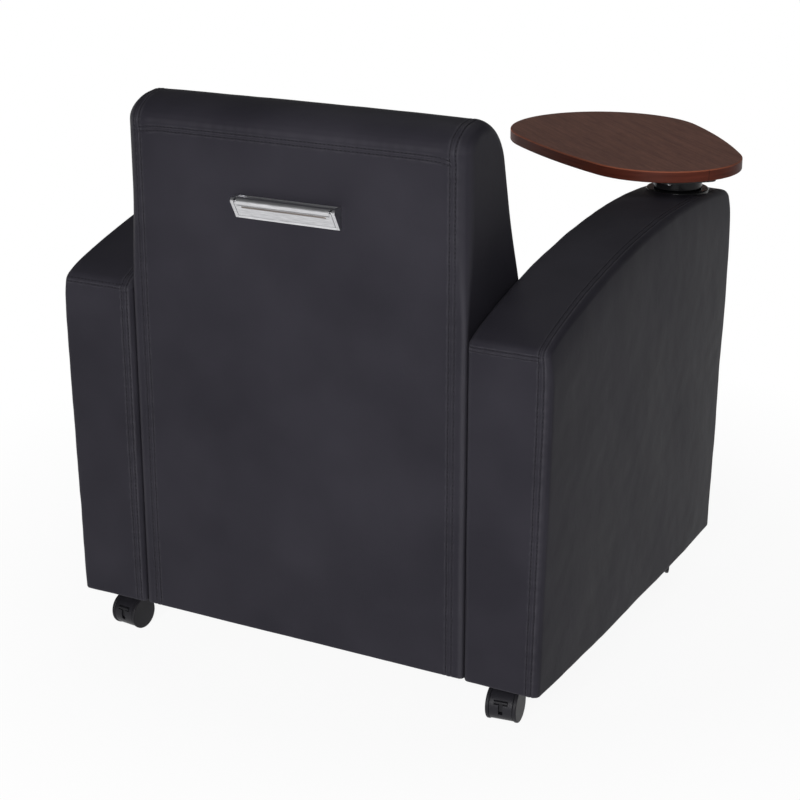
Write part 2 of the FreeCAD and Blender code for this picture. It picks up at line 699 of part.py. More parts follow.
# Seat
seat_cover = seat_block(0, SEAT_DECK).cut(seat_block(COVER_THICKNESS, SEAT_DECK - CUT_OVERRUN))
nodes["seat_cover"] = seat_cover
nodes["seat_foam"] = seat_block(PAD_INSET, SEAT_DECK)
low_top = SEAT_DECK - RAIL_STEP
rails = [
    block(-SEAT_HALF, -rail_inner, RAIL_FRONT, RAIL_REAR, UNDERSIDE, SEAT_DECK),
    block(rail_inner, SEAT_HALF, RAIL_FRONT, RAIL_REAR, UNDERSIDE, SEAT_DECK),
    block(-rail_inner, rail_inner, RAIL_FRONT, RAIL_FRONT + RAIL_THICKNESS, UNDERSIDE, low_top),
    block(-rail_inner, rail_inner, RAIL_REAR - RAIL_THICKNESS, RAIL_REAR, UNDERSIDE, low_top),
]
nodes["seat_rails"] = cut_all(group(rails), bolt_holes)
corner_blocks = []
for sx in (-1, 1):
    for y, sy in ((RAIL_FRONT + RAIL_THICKNESS, 1), (RAIL_REAR - RAIL_THICKNESS, -1)):
        x = sx * rail_inner
        corners = [(x, y, 0), (x - sx * CORNER_BLOCK, y, 0), (x, y + sy * CORNER_BLOCK, 0)]
        top = low_top - CORNER_BLOCK_HEIGHT
        corner_blocks.append(prism_z(corners, top - CORNER_BLOCK_HEIGHT, top))
nodes["seat_corner_blocks"] = group(corner_blocks)
spring_z = low_top + SPRING_WIRE / 2 + SPRING_CLIP_FIT
spring_y0 = RAIL_FRONT + RAIL_THICKNESS / 2
spring_y1 = RAIL_REAR - RAIL_THICKNESS / 2
springs = []
clips = []
for i in range(SPRING_COUNT):
    x = -rail_inner + (2 * rail_inner) * (i + 1) / (SPRING_COUNT + 1)
    springs.append(spring(x, spring_y0, spring_y1, spring_z))
    for y in (spring_y0, spring_y1):
        half = SPRING_CLIP / 2
        clip = block(x - half, x + half, y - half, y + half, low_top, low_top + RAIL_STEP - SPRING_CLIP_FIT)
        wide = SPRING_WIRE / 2 + SPRING_CLIP_FIT
        groove = rod(wide, vec(x - SPRING_CLIP, y, spring_z), vec(x + SPRING_CLIP, y, spring_z))
        slot = block(x - SPRING_CLIP, x + SPRING_CLIP, y - wide, y + wide, low_top - CUT_OVERRUN, spring_z)
        clips.append(clip.cut(groove.fuse(slot)))
nodes["seat_springs"] = group(springs)
nodes["seat_spring_clips"] = group(clips)


def front_panel(inset, rear, base):
    # Upholstered panel below the cushion, with its front edges rounded.
    y0 = FRONT + FRONT_PANEL_SETBACK + inset
    half = SEAT_HALF - inset
    solid = block(-half, half, y0, rear, base, SEAT_DECK - LAYER_FIT - inset)
    radius = FRONT_PANEL_RADIUS - inset
    if radius > LAYER_FIT:
        shown = [e for e in edges_above(solid, base) if e.BoundBox.YMax < y0 + LAYER_FIT]
        solid = solid.makeFillet(radius, shown)
    return solid


panel_cover = front_panel(0, RAIL_FRONT, UNDERSIDE)
nodes["front_panel_cover"] = panel_cover.cut(front_panel(COVER_THICKNESS, RAIL_FRONT + CUT_OVERRUN, below))
nodes["front_panel_foam"] = front_panel(PAD_INSET, RAIL_FRONT - LAYER_FIT, UNDERSIDE)
dust_half = WIDTH / 2 - ARM_FOOT_DRAW - DUST_MARGIN
dust = block(-dust_half, dust_half, FRONT + DUST_MARGIN, REAR - DUST_MARGIN, PLATE_TOP, UNDERSIDE)
nodes["dust_cover"] = cut_all(dust, caster_holes)

# Tablet, built along its own axis from the pivot, then turned to its heading

def egg(inset, z):
    small = vec(TABLET_SMALL_RADIUS - TABLET_PIVOT_INSET, 0, z)
    big = vec(TABLET_LENGTH - TABLET_PIVOT_INSET - TABLET_BIG_RADIUS, 0, z)
    to_big = TABLET_SIDE_RADIUS - TABLET_BIG_RADIUS
    to_small = TABLET_SIDE_RADIUS - TABLET_SMALL_RADIUS
    span = big.x - small.x
    along = (to_small**2 - to_big**2 + span**2) / (2 * span)
    across = math.sqrt(to_small**2 - along**2)
    ends = {}
    for side in (-1, 1):
        centre = vec(small.x + along, -side * across, z)
        near_big = big + (big - centre).normalize() * (TABLET_BIG_RADIUS - inset)
        near_small = small + (small - centre).normalize() * (TABLET_SMALL_RADIUS - inset)
        halfway = ((near_big + near_small) / 2 - centre).normalize()
        bend = centre + halfway * (TABLET_SIDE_RADIUS - inset)
        ends[side] = (near_big, bend, near_small)
    big_tip = big + vec(TABLET_BIG_RADIUS - inset, 0, 0)
    small_tip = small - vec(TABLET_SMALL_RADIUS - inset, 0, 0)
    edges = [
        Part.Arc(ends[-1][0], big_tip, ends[1][0]).toShape(),
        Part.Arc(*ends[1]).toShape(),
        Part.Arc(ends[1][2], small_tip, ends[-1][2]).toShape(),
        Part.Arc(ends[-1][2], ends[-1][1], ends[-1][0]).toShape(),
    ]
    return Part.Face(Part.Wire(edges))


def on_tablet(shape):
    turned = shape.rotated(vec(0, 0, 0), vec(0, 0, 1), TABLET_HEADING_DEG)
    return turned.translated(vec(PIVOT_X, PIVOT_Y, 0))


slab = vec(0, 0, TABLET_THICKNESS)
whole = egg(0, TABLET_LOW).extrude(slab)
rim = [e for e in whole.Edges if e.BoundBox.ZMax - e.BoundBox.ZMin < LAYER_FIT]
whole = whole.makeFillet(EDGE_BAND_ROUND, rim)
band = whole.cut(egg(EDGE_BAND, TABLET_LOW).extrude(slab))
board = egg(EDGE_BAND + GLUE_FIT, TABLET_LOW).extrude(slab)
half_length = PLATE_LENGTH / 2
half_width = PLATE_WIDTH / 2
plate_corners = [(sx * half_length, sy * half_width, PLATE_CORNER) for sx, sy in SQUARE]
plate = prism_z(plate_corners, PLATE_LOW, TABLET_LOW)
tablet_screws = []
for sx, sy in SQUARE:
    seat = vec(sx * (half_length - PLATE_CORNER), sy * (half_width - PLATE_CORNER), PLATE_LOW)
    tablet_screws.append(screw(seat, vec(0, 0, 1), TABLET_SCREW_LENGTH))
    hole = screw_hole(seat, vec(0, 0, 1), TABLET_SCREW_LENGTH)
    board = board.cut(hole)
    plate = plate.cut(hole)
hub_low = flange_top + HUB_GAP
hub = rod(HUB_DIAMETER / 2, vec(0, 0, hub_low), vec(0, 0, PLATE_LOW))
hub = hub.makeFillet(HUB_ROUND, [e for e in hub.Edges if e.BoundBox.ZMax < hub_low + LAYER_FIT])
hub = hub.cut(rod(SPINDLE_DIAMETER / 2 + RUNNING_FIT, vec(0, 0, hub_low), vec(0, 0, PLATE_LOW)))
spindle = rod(SPINDLE_DIAMETER / 2, vec(0, 0, spindle_low), vec(0, 0, PLATE_LOW))
nodes["tablet_board"] = on_tablet(board)
nodes["tablet_edge_band"] = on_tablet(band)
nodes["tablet_plate"] = on_tablet(plate)
nodes["tablet_hub"] = on_tablet(hub)
nodes["tablet_spindle"] = on_tablet(spindle)
nodes["tablet_screws"] = on_tablet(group(tablet_screws))

# Pull handle: tray with two wedge cheeks and a foot lip, grip with its barrel, and the pin
half = HANDLE_LENGTH / 2
wall_in = BACK_REAR + HANDLE_FIT
wedge = [
    (wall_in, handle_z, 0),
    (BACK_REAR + HANDLE_FOOT_OUT, handle_z, 0),
    (BACK_REAR + HANDLE_TOP_OUT, hinge_z, 0),
    (BACK_REAR + HANDLE_TOP_OUT, handle_z + HANDLE_HEIGHT, GRIP_RADIUS),
    (wall_in, handle_z + HANDLE_HEIGHT, 0),
]
tray = block(-half, half, wall_in, tray_back, handle_z, handle_z + HANDLE_HEIGHT)
tray = tray.fuse(block(-half, half, wall_in, BACK_REAR + HANDLE_FOOT_OUT, handle_z, handle_z + HANDLE_LIP))
for side in (-1, 1):
    x0 = min(side * half, side * (half - HANDLE_CHEEK))
    tray = tray.fuse(prism_x(wedge, x0, x0 + HANDLE_CHEEK))
pin_half = half - HANDLE_CHEEK + PIN_HOLD
pin = rod(PIN_DIAMETER / 2, vec(-pin_half, hinge_y, hinge_z), vec(pin_half, hinge_y, hinge_z))
tray = cut_all(tray.removeSplitter(), [pin] + handle_holes)
grip_half = half - HANDLE_CHEEK - GRIP_GAP
barrel = rod(GRIP_RADIUS, vec(-grip_half, hinge_y, hinge_z), vec(grip_half, hinge_y, hinge_z))
foot_z = handle_z + HANDLE_LIP + GRIP_LIP_GAP
lean = (HANDLE_TOP_OUT - HANDLE_FOOT_OUT) / (hinge_z - handle_z)
foot_out = BACK_REAR + HANDLE_FOOT_OUT + lean * (foot_z - handle_z)
top_out = BACK_REAR + HANDLE_TOP_OUT
blade_view = [
    (foot_out, foot_z, 0),
    (top_out, hinge_z, 0),
    (top_out - GRIP_PLATE, hinge_z, 0),
    (foot_out - GRIP_PLATE, foot_z, 0),
]
blade_half = half - HANDLE_CHEEK - BLADE_GAP
blade = prism_x(blade_view, -blade_half, blade_half)
grip = barrel.fuse(blade).removeSplitter()
pin_hole = rod(PIN_DIAMETER / 2 + RUNNING_FIT, vec(-half, hinge_y, hinge_z), vec(half, hinge_y, hinge_z))
grip = grip.cut(pin_hole)
nodes["handle_tray"] = tray
nodes["handle_pin"] = pin
nodes["handle_grip"] = grip

# Castors, built about their kingpins facing +Y, then turned and set under the arms
wheel_in = HOOD_WEB / 2 + WHEEL_WEB_GAP
rim_in = HOOD_WIDTH / 2 + WHEEL_SIDE_GAP
rim_out = rim_in + WHEEL_RIM
axle_half = rim_out - WHEEL_CAP
cavity = HOOD_DIAMETER / 2 - HOOD_WALL
brake_z = AXLE_Z + BRAKE_RISE
hood_radius = HOOD_DIAMETER / 2
brake_y = CASTER_TRAIL + math.sqrt(hood_radius**2 - BRAKE_RISE**2) - BRAKE_BAR_DIAMETER / 2 + BRAKE_PROUD


def at_axle(x):
    return vec(x, CASTER_TRAIL, AXLE_Z)


def caster_hood():
    shell = rod(hood_radius, at_axle(-HOOD_WIDTH / 2), at_axle(HOOD_WIDTH / 2))
    shell = shell.fuse(rod(BOSS_DIAMETER / 2, vec(0, 0, AXLE_Z), vec(0, 0, BOSS_TOP)))
    for side in (-1, 1):
        reach = HOOD_WIDTH / 2 + CUT_OVERRUN
        shell = shell.cut(rod(cavity, at_axle(side * HOOD_WEB / 2), at_axle(side * reach)))
    shell = shell.cut(block(-WIDTH, WIDTH, -DEPTH, DEPTH, -CUT_OVERRUN, HOOD_FLOOR_GAP))
    shell = shell.cut(rod(AXLE_DIAMETER / 2, at_axle(-HOOD_WIDTH), at_axle(HOOD_WIDTH)))
    pin_low = BOSS_TOP - KINGPIN_DEPTH - KINGPIN_END_GAP
    pin_high = BOSS_TOP + CUT_OVERRUN
    shell = shell.cut(rod(KINGPIN_DIAMETER / 2 + RUNNING_FIT, vec(0, 0, pin_low), vec(0, 0, pin_high)))
    bar = BRAKE_BAR / 2 + BRAKE_FIT
    depth = brake_y - BRAKE_BAR_DIAMETER / 2 - BRAKE_FIT
    bar_high = BRAKE_BAR_DIAMETER / 2 + BRAKE_FIT
    shell = shell.cut(block(-bar, bar, depth, DEPTH, brake_z - bar_high, brake_z + bar_high))
    stem = BRAKE_STEM_WIDTH / 2 + BRAKE_FIT
    notch = brake_y - BRAKE_STEM_THICKNESS / 2 - BRAKE_NOTCH
    low = brake_z - BRAKE_STEM_LENGTH - BRAKE_FOOT_HOLE
    shell = shell.cut(block(-stem, stem, notch, DEPTH, low, brake_z + bar_high))
    return max(shell.Solids, key=lambda solid: solid.Volume)


def caster_wheel(side):
    tread = rod(WHEEL_DIAMETER / 2, at_axle(side * rim_in), at_axle(side * rim_out))
    circles = [e for e in tread.Edges if e.BoundBox.XMax - e.BoundBox.XMin < LAYER_FIT]
    tread = tread.makeFillet(WHEEL_RIM_ROUND, circles)
    hub = rod(WHEEL_HUB_DIAMETER / 2, at_axle(side * wheel_in), at_axle(side * rim_in))
    bore = rod(AXLE_DIAMETER / 2 + RUNNING_FIT, at_axle(0), at_axle(side * axle_half))
    return tread.fuse(hub).cut(bore).removeSplitter()


def caster_brake():
    bar_end = vec(BRAKE_BAR / 2, brake_y, brake_z)
    bar = rod(BRAKE_BAR_DIAMETER / 2, vec(-BRAKE_BAR / 2, brake_y, brake_z), bar_end)
    stem = block(
        -BRAKE_STEM_WIDTH / 2, BRAKE_STEM_WIDTH / 2,
        brake_y - BRAKE_STEM_THICKNESS / 2, brake_y + BRAKE_STEM_THICKNESS / 2,
        brake_z - BRAKE_STEM_LENGTH, brake_z,
    )
    return bar.fuse(stem).removeSplitter()


caster_shapes = {
    "hood": caster_hood(),
    "axle": rod(AXLE_DIAMETER / 2, at_axle(-axle_half + WHEEL_WEB_GAP), at_axle(axle_half - WHEEL_WEB_GAP)),
    "left_wheel": caster_wheel(1),
    "right_wheel": caster_wheel(-1),
    "brake": caster_brake(),
}
for corner, (x, y, yaw) in caster_places.items():
    for name, shape in caster_shapes.items():
        turned = shape.rotated(vec(0, 0, 0), vec(0, 0, 1), yaw)
        nodes[corner + "_caster_" + name] = turned.translated(vec(x, y, 0))

# The origin: on the floor under the middle of the whole box, which the tablet and the handle reach
heading = math.radians(TABLET_HEADING_DEG)
small_x = PIVOT_X + (TABLET_SMALL_RADIUS - TABLET_PIVOT_INSET) * math.cos(heading)
big_y = PIVOT_Y + (TABLET_LENGTH - TABLET_PIVOT_INSET - TABLET_BIG_RADIUS) * math.sin(heading)
low_x = min(-WIDTH / 2, small_x - TABLET_SMALL_RADIUS)
low_y = min(FRONT, big_y - TABLET_BIG_RADIUS)
high_y = max(REAR, BACK_REAR + HANDLE_TOP_OUT)
SHIFT = vec(-(low_x + WIDTH / 2) / 2, -(low_y + high_y) / 2, 0)

os.makedirs("parts", exist_ok=True)
for name, shape in nodes.items():
    shape.translated(SHIFT).exportStep("parts/" + name + ".step")
print(len(nodes), "nodes, shift", SHIFT)
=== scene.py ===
# Looks of a tablet armchair on castors, seen from its rear right. Metres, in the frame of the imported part:
# +Z is up from the floor, -Y is the front and +X is the sitter's left.
import math

import bmesh
import bpy
import numpy as np
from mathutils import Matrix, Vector, noise


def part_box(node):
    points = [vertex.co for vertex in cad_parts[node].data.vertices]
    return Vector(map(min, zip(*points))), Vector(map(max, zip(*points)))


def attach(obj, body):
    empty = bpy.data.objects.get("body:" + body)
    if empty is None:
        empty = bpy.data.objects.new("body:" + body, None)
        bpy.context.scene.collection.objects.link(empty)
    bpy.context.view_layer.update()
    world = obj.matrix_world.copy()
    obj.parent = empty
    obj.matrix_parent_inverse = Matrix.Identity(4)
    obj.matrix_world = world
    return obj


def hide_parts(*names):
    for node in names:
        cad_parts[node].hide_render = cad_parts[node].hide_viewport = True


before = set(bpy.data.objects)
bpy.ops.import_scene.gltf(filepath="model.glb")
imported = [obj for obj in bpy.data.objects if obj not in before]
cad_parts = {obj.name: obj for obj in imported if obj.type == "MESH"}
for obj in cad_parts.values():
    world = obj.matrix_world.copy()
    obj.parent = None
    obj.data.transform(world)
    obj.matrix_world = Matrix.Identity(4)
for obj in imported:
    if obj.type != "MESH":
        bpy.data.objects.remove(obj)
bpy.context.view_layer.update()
scene = bpy.context.scene
scene.view_settings.view_transform = "Standard"

# Studio
# A wide pale floor that keeps the chair's shadow, a dim surround and four large soft lamps. The camera sees
# everything behind the chair white, and bright metal mirrors a white floor and the foot of white walls.
# The camera stands behind the chair and a little to the sitter's right, above the arms.
floor_reach = 14.0
floor_level = -0.0005
floor_mesh = bpy.data.meshes.new("studio_floor")
floor_mesh.from_pydata(
    [(sx * floor_reach, sy * floor_reach, floor_level) for sx, sy in ((-1, -1), (1, -1), (1, 1), (-1, 1))],
    [], [(0, 1, 2, 3)],
)
floor = bpy.data.objects.new("studio_floor", floor_mesh)
scene.collection.objects.link(floor)


def new_material(name):
    # An empty Principled material: returns it with its nodes, links and shader.
    made = bpy.data.materials.new(name)
    made.use_nodes = True
    return made, made.node_tree.nodes, made.node_tree.links, made.node_tree.nodes["Principled BSDF"]


def two_tones(nodes, links, value, dark, pale, low=0.0, high=1.0):
    # Colours a value: a dark tone at low, a pale one at high.
    ramp = nodes.new("ShaderNodeValToRGB")
    for element, position, tone in zip(ramp.color_ramp.elements, (low, high), (dark, pale)):
        element.position = position
        element.color = (*tone, 1)
    links.new(value, ramp.inputs["Fac"])
    return ramp.outputs["Color"]


def span(nodes, links, value, to_low, to_high, from_low=0.0, from_high=1.0):
    # Maps a value from the range between from_low and from_high to another one.
    mapped = nodes.new("ShaderNodeMapRange")
    mapped.inputs["From Min"].default_value = from_low
    mapped.inputs["From Max"].default_value = from_high
    mapped.inputs["To Min"].default_value = to_low
    mapped.inputs["To Max"].default_value = to_high
    links.new(value, mapped.inputs["Value"])
    return mapped.outputs["Result"]


def larger(nodes, links, first, second):
    # The larger of two values.
    most = nodes.new("ShaderNodeMath")
    most.operation = "MAXIMUM"
    links.new(first, most.inputs[0])
    links.new(second, most.inputs[1])
    return most.outputs[0]


floor_paint, nodes, links, shader = new_material("studio_floor_paint")
shader.inputs["Roughness"].default_value = 0.9
shader.inputs["Specular IOR Level"].default_value = 0.1
place = nodes.new("ShaderNodeTexCoord")
mottle = nodes.new("ShaderNodeTexNoise")
mottle.inputs["Scale"].default_value = 0.6
tones = two_tones(nodes, links, mottle.outputs["Fac"], (0.88, 0.88, 0.88), (0.92, 0.92, 0.92))
white = nodes.new("ShaderNodeEmission")
white.inputs["Strength"].default_value = 1.0
away = nodes.new("ShaderNodeVectorMath")
away.operation = "LENGTH"
fade = span(nodes, links, away.outputs["Value"], 0.92, 1.0, 0.6, 1.2)
ray = nodes.new("ShaderNodeLightPath")
mirrored = larger(nodes, links, ray.outputs["Is Glossy Ray"], ray.outputs["Is Transmission Ray"])
seen = larger(nodes, links, ray.outputs["Is Camera Ray"], mirrored)
share = nodes.new("ShaderNodeMath")
share.operation = "MULTIPLY"
blend = nodes.new("ShaderNodeMixShader")
links.new(place.outputs["Object"], mottle.inputs["Vector"])
links.new(tones, shader.inputs["Base Color"])
links.new(place.outputs["Object"], away.inputs[0])
links.new(seen, share.inputs[0])
links.new(fade, share.inputs[1])
links.new(share.outputs[0], blend.inputs[0])
links.new(shader.outputs[0], blend.inputs[1])
links.new(white.outputs[0], blend.inputs[2])
links.new(blend.outputs[0], nodes["Material Output"].inputs["Surface"])
floor_mesh.materials.append(floor_paint)

world = bpy.data.worlds.new("studio_surround")
scene.world = world
world.use_nodes = True
nodes = world.node_tree.nodes
links = world.node_tree.links
white = nodes.new("ShaderNodeBackground")
white.inputs["Strength"].default_value = 1.0
white.inputs["Color"].default_value = (1, 1, 1, 1)
lit = nodes["Background"]
lit.inputs["Color"].default_value = (0.98, 0.99, 1.0, 1)
lit.inputs["Strength"].default_value = 0.12
ray = nodes.new("ShaderNodeLightPath")
place = nodes.new("ShaderNodeTexCoord")
apart = nodes.new("ShaderNodeSeparateXYZ")
walls = span(nodes, links, apart.outputs["Z"], 1.0, 0.0, 0.02, 0.20)
mirrored = larger(nodes, links, ray.outputs["Is Glossy Ray"], ray.outputs["Is Transmission Ray"])
backdrop = nodes.new("ShaderNodeMath")
backdrop.operation = "MULTIPLY"
seen = larger(nodes, links, ray.outputs["Is Camera Ray"], backdrop.outputs[0])
blend = nodes.new("ShaderNodeMixShader")
links.new(place.outputs["Generated"], apart.inputs[0])
links.new(mirrored, backdrop.inputs[0])
links.new(walls, backdrop.inputs[1])
links.new(seen, blend.inputs[0])
links.new(lit.outputs[0], blend.inputs[1])
links.new(white.outputs[0], blend.inputs[2])
links.new(blend.outputs[0], nodes["World Output"].inputs["Surface"])

camera_place = Vector((-1.3058, 2.6052, 1.3067))
camera_aim = Vector((0.0082, 0.1611, 0.3409))
camera_data = bpy.data.cameras.new("camera")
camera_data.sensor_width = 36.0
camera_data.lens = 84.1
camera_data.clip_end = 60.0
camera = bpy.data.objects.new("camera", camera_data)
camera.location = camera_place
camera.rotation_euler = (camera_aim - camera_place).to_track_quat("-Z", "Y").to_euler()
scene.collection.objects.link(camera)
scene.camera = camera


def soft_lamp(name, place, aim, size, power, shines_back):
    # A lamp whose light doesn't shine back as a reflection leaves no glare on sides seen at a flat angle.
    data = bpy.data.lights.new(name, "AREA")
    data.shape = "RECTANGLE"
    data.size = size[0]
    data.size_y = size[1]
    data.energy = power
    lamp = bpy.data.objects.new(name, data)
    lamp.location = place
    lamp.rotation_euler = (Vector(aim) - Vector(place)).to_track_quat("-Z", "Y").to_euler()
    lamp.visible_glossy = shines_back
    scene.collection.objects.link(lamp)


soft_lamp("rear_lamp", (-0.8, 3.6, 1.2), (-0.1, 0.2, 0.45), (2.2, 1.8), 130, True)
soft_lamp("front_lamp", (0.9, -3.4, 0.4), (0.1, 0, 0.4), (2.8, 0.6), 90, False)
soft_lamp("left_lamp", (3.2, -1.8, 0.35), (0, 0, 0.4), (2.4, 0.6), 70, False)
soft_lamp("top_lamp", (0.2, -1.0, 3.2), (0, 0, 0.5), (2.0, 2.0), 16, True)

# Black vinyl of the upholstery
# Coated cloth with a fine pebbled grain, soft creases and a low sheen, with a painted highlight: a paler
# tone along convex edges and seams. One roll covers the arms, the back, the seat and the front panel.
grain = bpy.data.node_groups.new("pebbled_grain", "ShaderNodeTree")
grain.interface.new_socket("Pebble Scale", in_out="INPUT", socket_type="NodeSocketFloat")
grain.interface.new_socket("Crease Scale", in_out="INPUT", socket_type="NodeSocketFloat")
grain.interface.new_socket("Height", in_out="OUTPUT", socket_type="NodeSocketFloat")
grain.interface.new_socket("Mottle", in_out="OUTPUT", socket_type="NodeSocketFloat")
nodes = grain.nodes
links = grain.links
inlet = nodes.new("NodeGroupInput")
outlet = nodes.new("NodeGroupOutput")
place = nodes.new("ShaderNodeTexCoord")
pebbles = nodes.new("ShaderNodeTexVoronoi")
pebbles.feature = "SMOOTH_F1"
creases = nodes.new("ShaderNodeTexNoise")
creases.inputs["Detail"].default_value = 4.0
creases.inputs["Distortion"].default_value = 0.6
cloud = nodes.new("ShaderNodeTexNoise")
cloud.inputs["Scale"].default_value = 7.0
cloud.inputs["Detail"].default_value = 2.0
weigh = nodes.new("ShaderNodeMath")
weigh.operation = "MULTIPLY_ADD"
weigh.inputs[1].default_value = 3.0
links.new(place.outputs["Object"], pebbles.inputs["Vector"])
links.new(place.outputs["Object"], creases.inputs["Vector"])
links.new(place.outputs["Object"], cloud.inputs["Vector"])
links.new(inlet.outputs["Pebble Scale"], pebbles.inputs["Scale"])
links.new(inlet.outputs["Crease Scale"], creases.inputs["Scale"])
links.new(creases.outputs["Fac"], weigh.inputs[0])
links.new(pebbles.outputs["Distance"], weigh.inputs[2])
links.new(weigh.outputs[0], outlet.inputs["Height"])
links.new(cloud.outputs["Fac"], outlet.inputs["Mottle"])

vinyl, nodes, links, shader = new_material("black_vinyl")
shader.inputs["Specular IOR Level"].default_value = 0.045
skin = nodes.new("ShaderNodeGroup")
skin.node_tree = grain
skin.inputs["Pebble Scale"].default_value = 900.0
skin.inputs["Crease Scale"].default_value = 42.0
dark_vinyl = (0.0185, 0.0175, 0.0228)
pale_vinyl = (0.0258, 0.0244, 0.0312)
tones = two_tones(nodes, links, skin.outputs["Mottle"], dark_vinyl, pale_vinyl, 0.3, 0.75)
# Pointiness finds convex edges and seams, where the colour turns paler: a painted highlight for their sheen.
bend = nodes.new("ShaderNodeNewGeometry")
pulled = span(nodes, links, bend.outputs["Pointiness"], 0.0, 0.55, 0.505, 0.535)
painted_edge_sheen = nodes.new("ShaderNodeMix")
painted_edge_sheen.data_type = "RGBA"
painted_edge_sheen.inputs["B"].default_value = (0.050, 0.048, 0.056, 1)
gloss = span(nodes, links, skin.outputs["Mottle"], 0.42, 0.54)
relief = nodes.new("ShaderNodeBump")
relief.inputs["Strength"].default_value = 0.22
relief.inputs["Distance"].default_value = 0.0006
links.new(pulled, painted_edge_sheen.inputs["Factor"])
links.new(tones, painted_edge_sheen.inputs["A"])
links.new(painted_edge_sheen.outputs["Result"], shader.inputs["Base Color"])
links.new(gloss, shader.inputs["Roughness"])
links.new(skin.outputs["Height"], relief.inputs["Height"])
links.new(relief.outputs["Normal"], shader.inputs["Normal"])

thread, nodes, links, shader = new_material("seam_thread")
shader.inputs["Roughness"].default_value = 0.9
shader.inputs["Specular IOR Level"].default_value = 0.1
place = nodes.new("ShaderNodeTexCoord")
plies = nodes.new("ShaderNodeTexNoise")
plies.inputs["Scale"].default_value = 600.0
tones = two_tones(nodes, links, plies.outputs["Fac"], (0.010, 0.0095, 0.012), (0.020, 0.019, 0.023))
links.new(place.outputs["Object"], plies.inputs["Vector"])
links.new(tones, shader.inputs["Base Color"])

# Arms
# Each arm is a plywood box with an arched top, padded with foam and covered in vinyl. Its panels lap over
# each other near the edges of the rear, top and front faces and are sewn with two rows of black stitches.
arm_rear_rise = 0.506
arm_crest_rise = 0.593
arm_crest_setback = 0.190
arm_foot_draw = 0.011
arm_top_draw = 0.009
arm_top_roll = 0.030
arm_end_roll = 0.020
arm_edge = 0.009
arm_knot_height = 0.0014
arm_knot_reach = (0.0055, 0.006)
arm_side_swell = 0.0045
arm_end_swell = 0.0022
arm_top_swell = 0.0025
arm_swell_foot = 0.2
arm_wave = 0.0011
arm_wave_rate = 9.0
arm_fine_wave = 0.0004
arm_fine_rate = 34.0
arm_roll_power = 6
arm_lift_power = 8
tuck_share = 0.6
grid_step = 0.006
grid_margin = 0.0003
grid_least = 0.00045
edge_lines = 7
lines_beside_seam = np.array([0.0006, 0.0012, 0.0019, 0.0027, 0.0035, 0.0042, 0.0050, 0.0062, 0.0080])
join_distance = 0.00002
lap_height = 0.0006
lap_share = 0.72
stitch_sink = 0.0007
sink_reach = 0.0008
slack_height = 0.0003
slack_offset = 0.0026
slack_reach = 0.0018
gather_height = 0.0004
gather_length = 0.023
gather_reach = 0.009
gather_stray = 0.7
gather_stray_rate = 29
seam_clearance = 0.004
thread_sides = 6
tangent_reach = 0.001
path_steps = 240
stitch_pitch = 0.0062
stitch_length = 0.0043
thread_radius = 0.0007
row_offset = 0.0042
cross_row_offset = 0.0031


def line_places(low, high, radius, seams, step):
    # Where the lines of a box's grid lie along one axis: close at rounded edges and at seams.
    edge = radius * (1 - np.tan(np.linspace(math.pi / 4, 0, edge_lines)))
    count = max(2, int(round((high - low - 2 * radius) / step)) + 1)
    places = [low + edge, high - edge, np.linspace(low + radius, high - radius, count)]
    for seam in seams:
        places += [seam - lines_beside_seam, seam + lines_beside_seam, np.array([seam])]
    places = np.sort(np.concatenate(places))
    places = places[(places > low + grid_margin) & (places < high - grid_margin)]
    apart = np.concatenate(([True], np.diff(places) > grid_least))
    return np.concatenate(([low], places[apart], [high]))


def box_grid(lines):
    # Points and four-sided faces of a box whose six sides carry the grid lines.
    points = []
    faces = []
    start = 0
    for axis in range(3):
        across, along = [k for k in range(3) if k != axis]
        for end in (0, -1):
            rows = len(lines[across])
            columns = len(lines[along])
            grid = np.empty((rows, columns, 3))
            grid[..., axis] = lines[axis][end]
            grid[..., across] = lines[across][:, None]
            grid[..., along] = lines[along][None, :]
            index = start + np.arange(rows * columns).reshape(rows, columns)
            quads = np.stack([index[:-1, :-1], index[1:, :-1], index[1:, 1:], index[:-1, 1:]], axis=-1)
            points.append(grid.reshape(-1, 3))
            faces.append(quads.reshape(-1, 4))
            start += rows * columns
    return np.concatenate(points), np.concatenate(faces)


def round_edges(points, low, high, radius):
    # A box's surface points moved onto the same box with round edges, and the way each one faces.
    core = np.clip(points, np.array(low) + radius, np.array(high) - radius)
    out = points - core
    facing = out / np.linalg.norm(out, axis=1, keepdims=True)
    return core + facing * radius, facing


def seam_relief(away, row):
    # Height of the vinyl at a lapped seam: the lap swells between its two rows, which pull it down.
    away = np.abs(away)
    lap = lap_height * np.exp(-((away / (lap_share * row)) ** 4))
    pulled = -stitch_sink * np.exp(-(((away - row) / sink_reach) ** 2))
    slack = slack_height * np.exp(-(((away - row - slack_offset) / slack_reach) ** 2))
    return lap + pulled + slack


def gathers(along, away, seed):
    # Small puckers of the vinyl beside a seam, where its stitches draw it together.
    stray = gather_stray * np.sin(gather_stray_rate * along + seed)
    wave = np.sin(2 * math.pi * (along / gather_length + stray))
    return gather_height * wave * np.exp(-(((np.abs(away) - row_offset) / gather_reach) ** 2))


def swell(values, low, high, power=4):
    # 1 in the middle of a panel and 0 at both of its edges.
    share = np.clip((values - low) / (high - low), 0, 1)
    return 1 - np.abs(2 * share - 1) ** power


def ripple(points, scale, seed):
    # Slow unevenness of stuffed vinyl, from -1 to 1.
    shift = Vector((seed, 2.3 * seed, -1.7 * seed))
    return np.array([noise.noise(Vector(p) * scale + shift) for p in points])


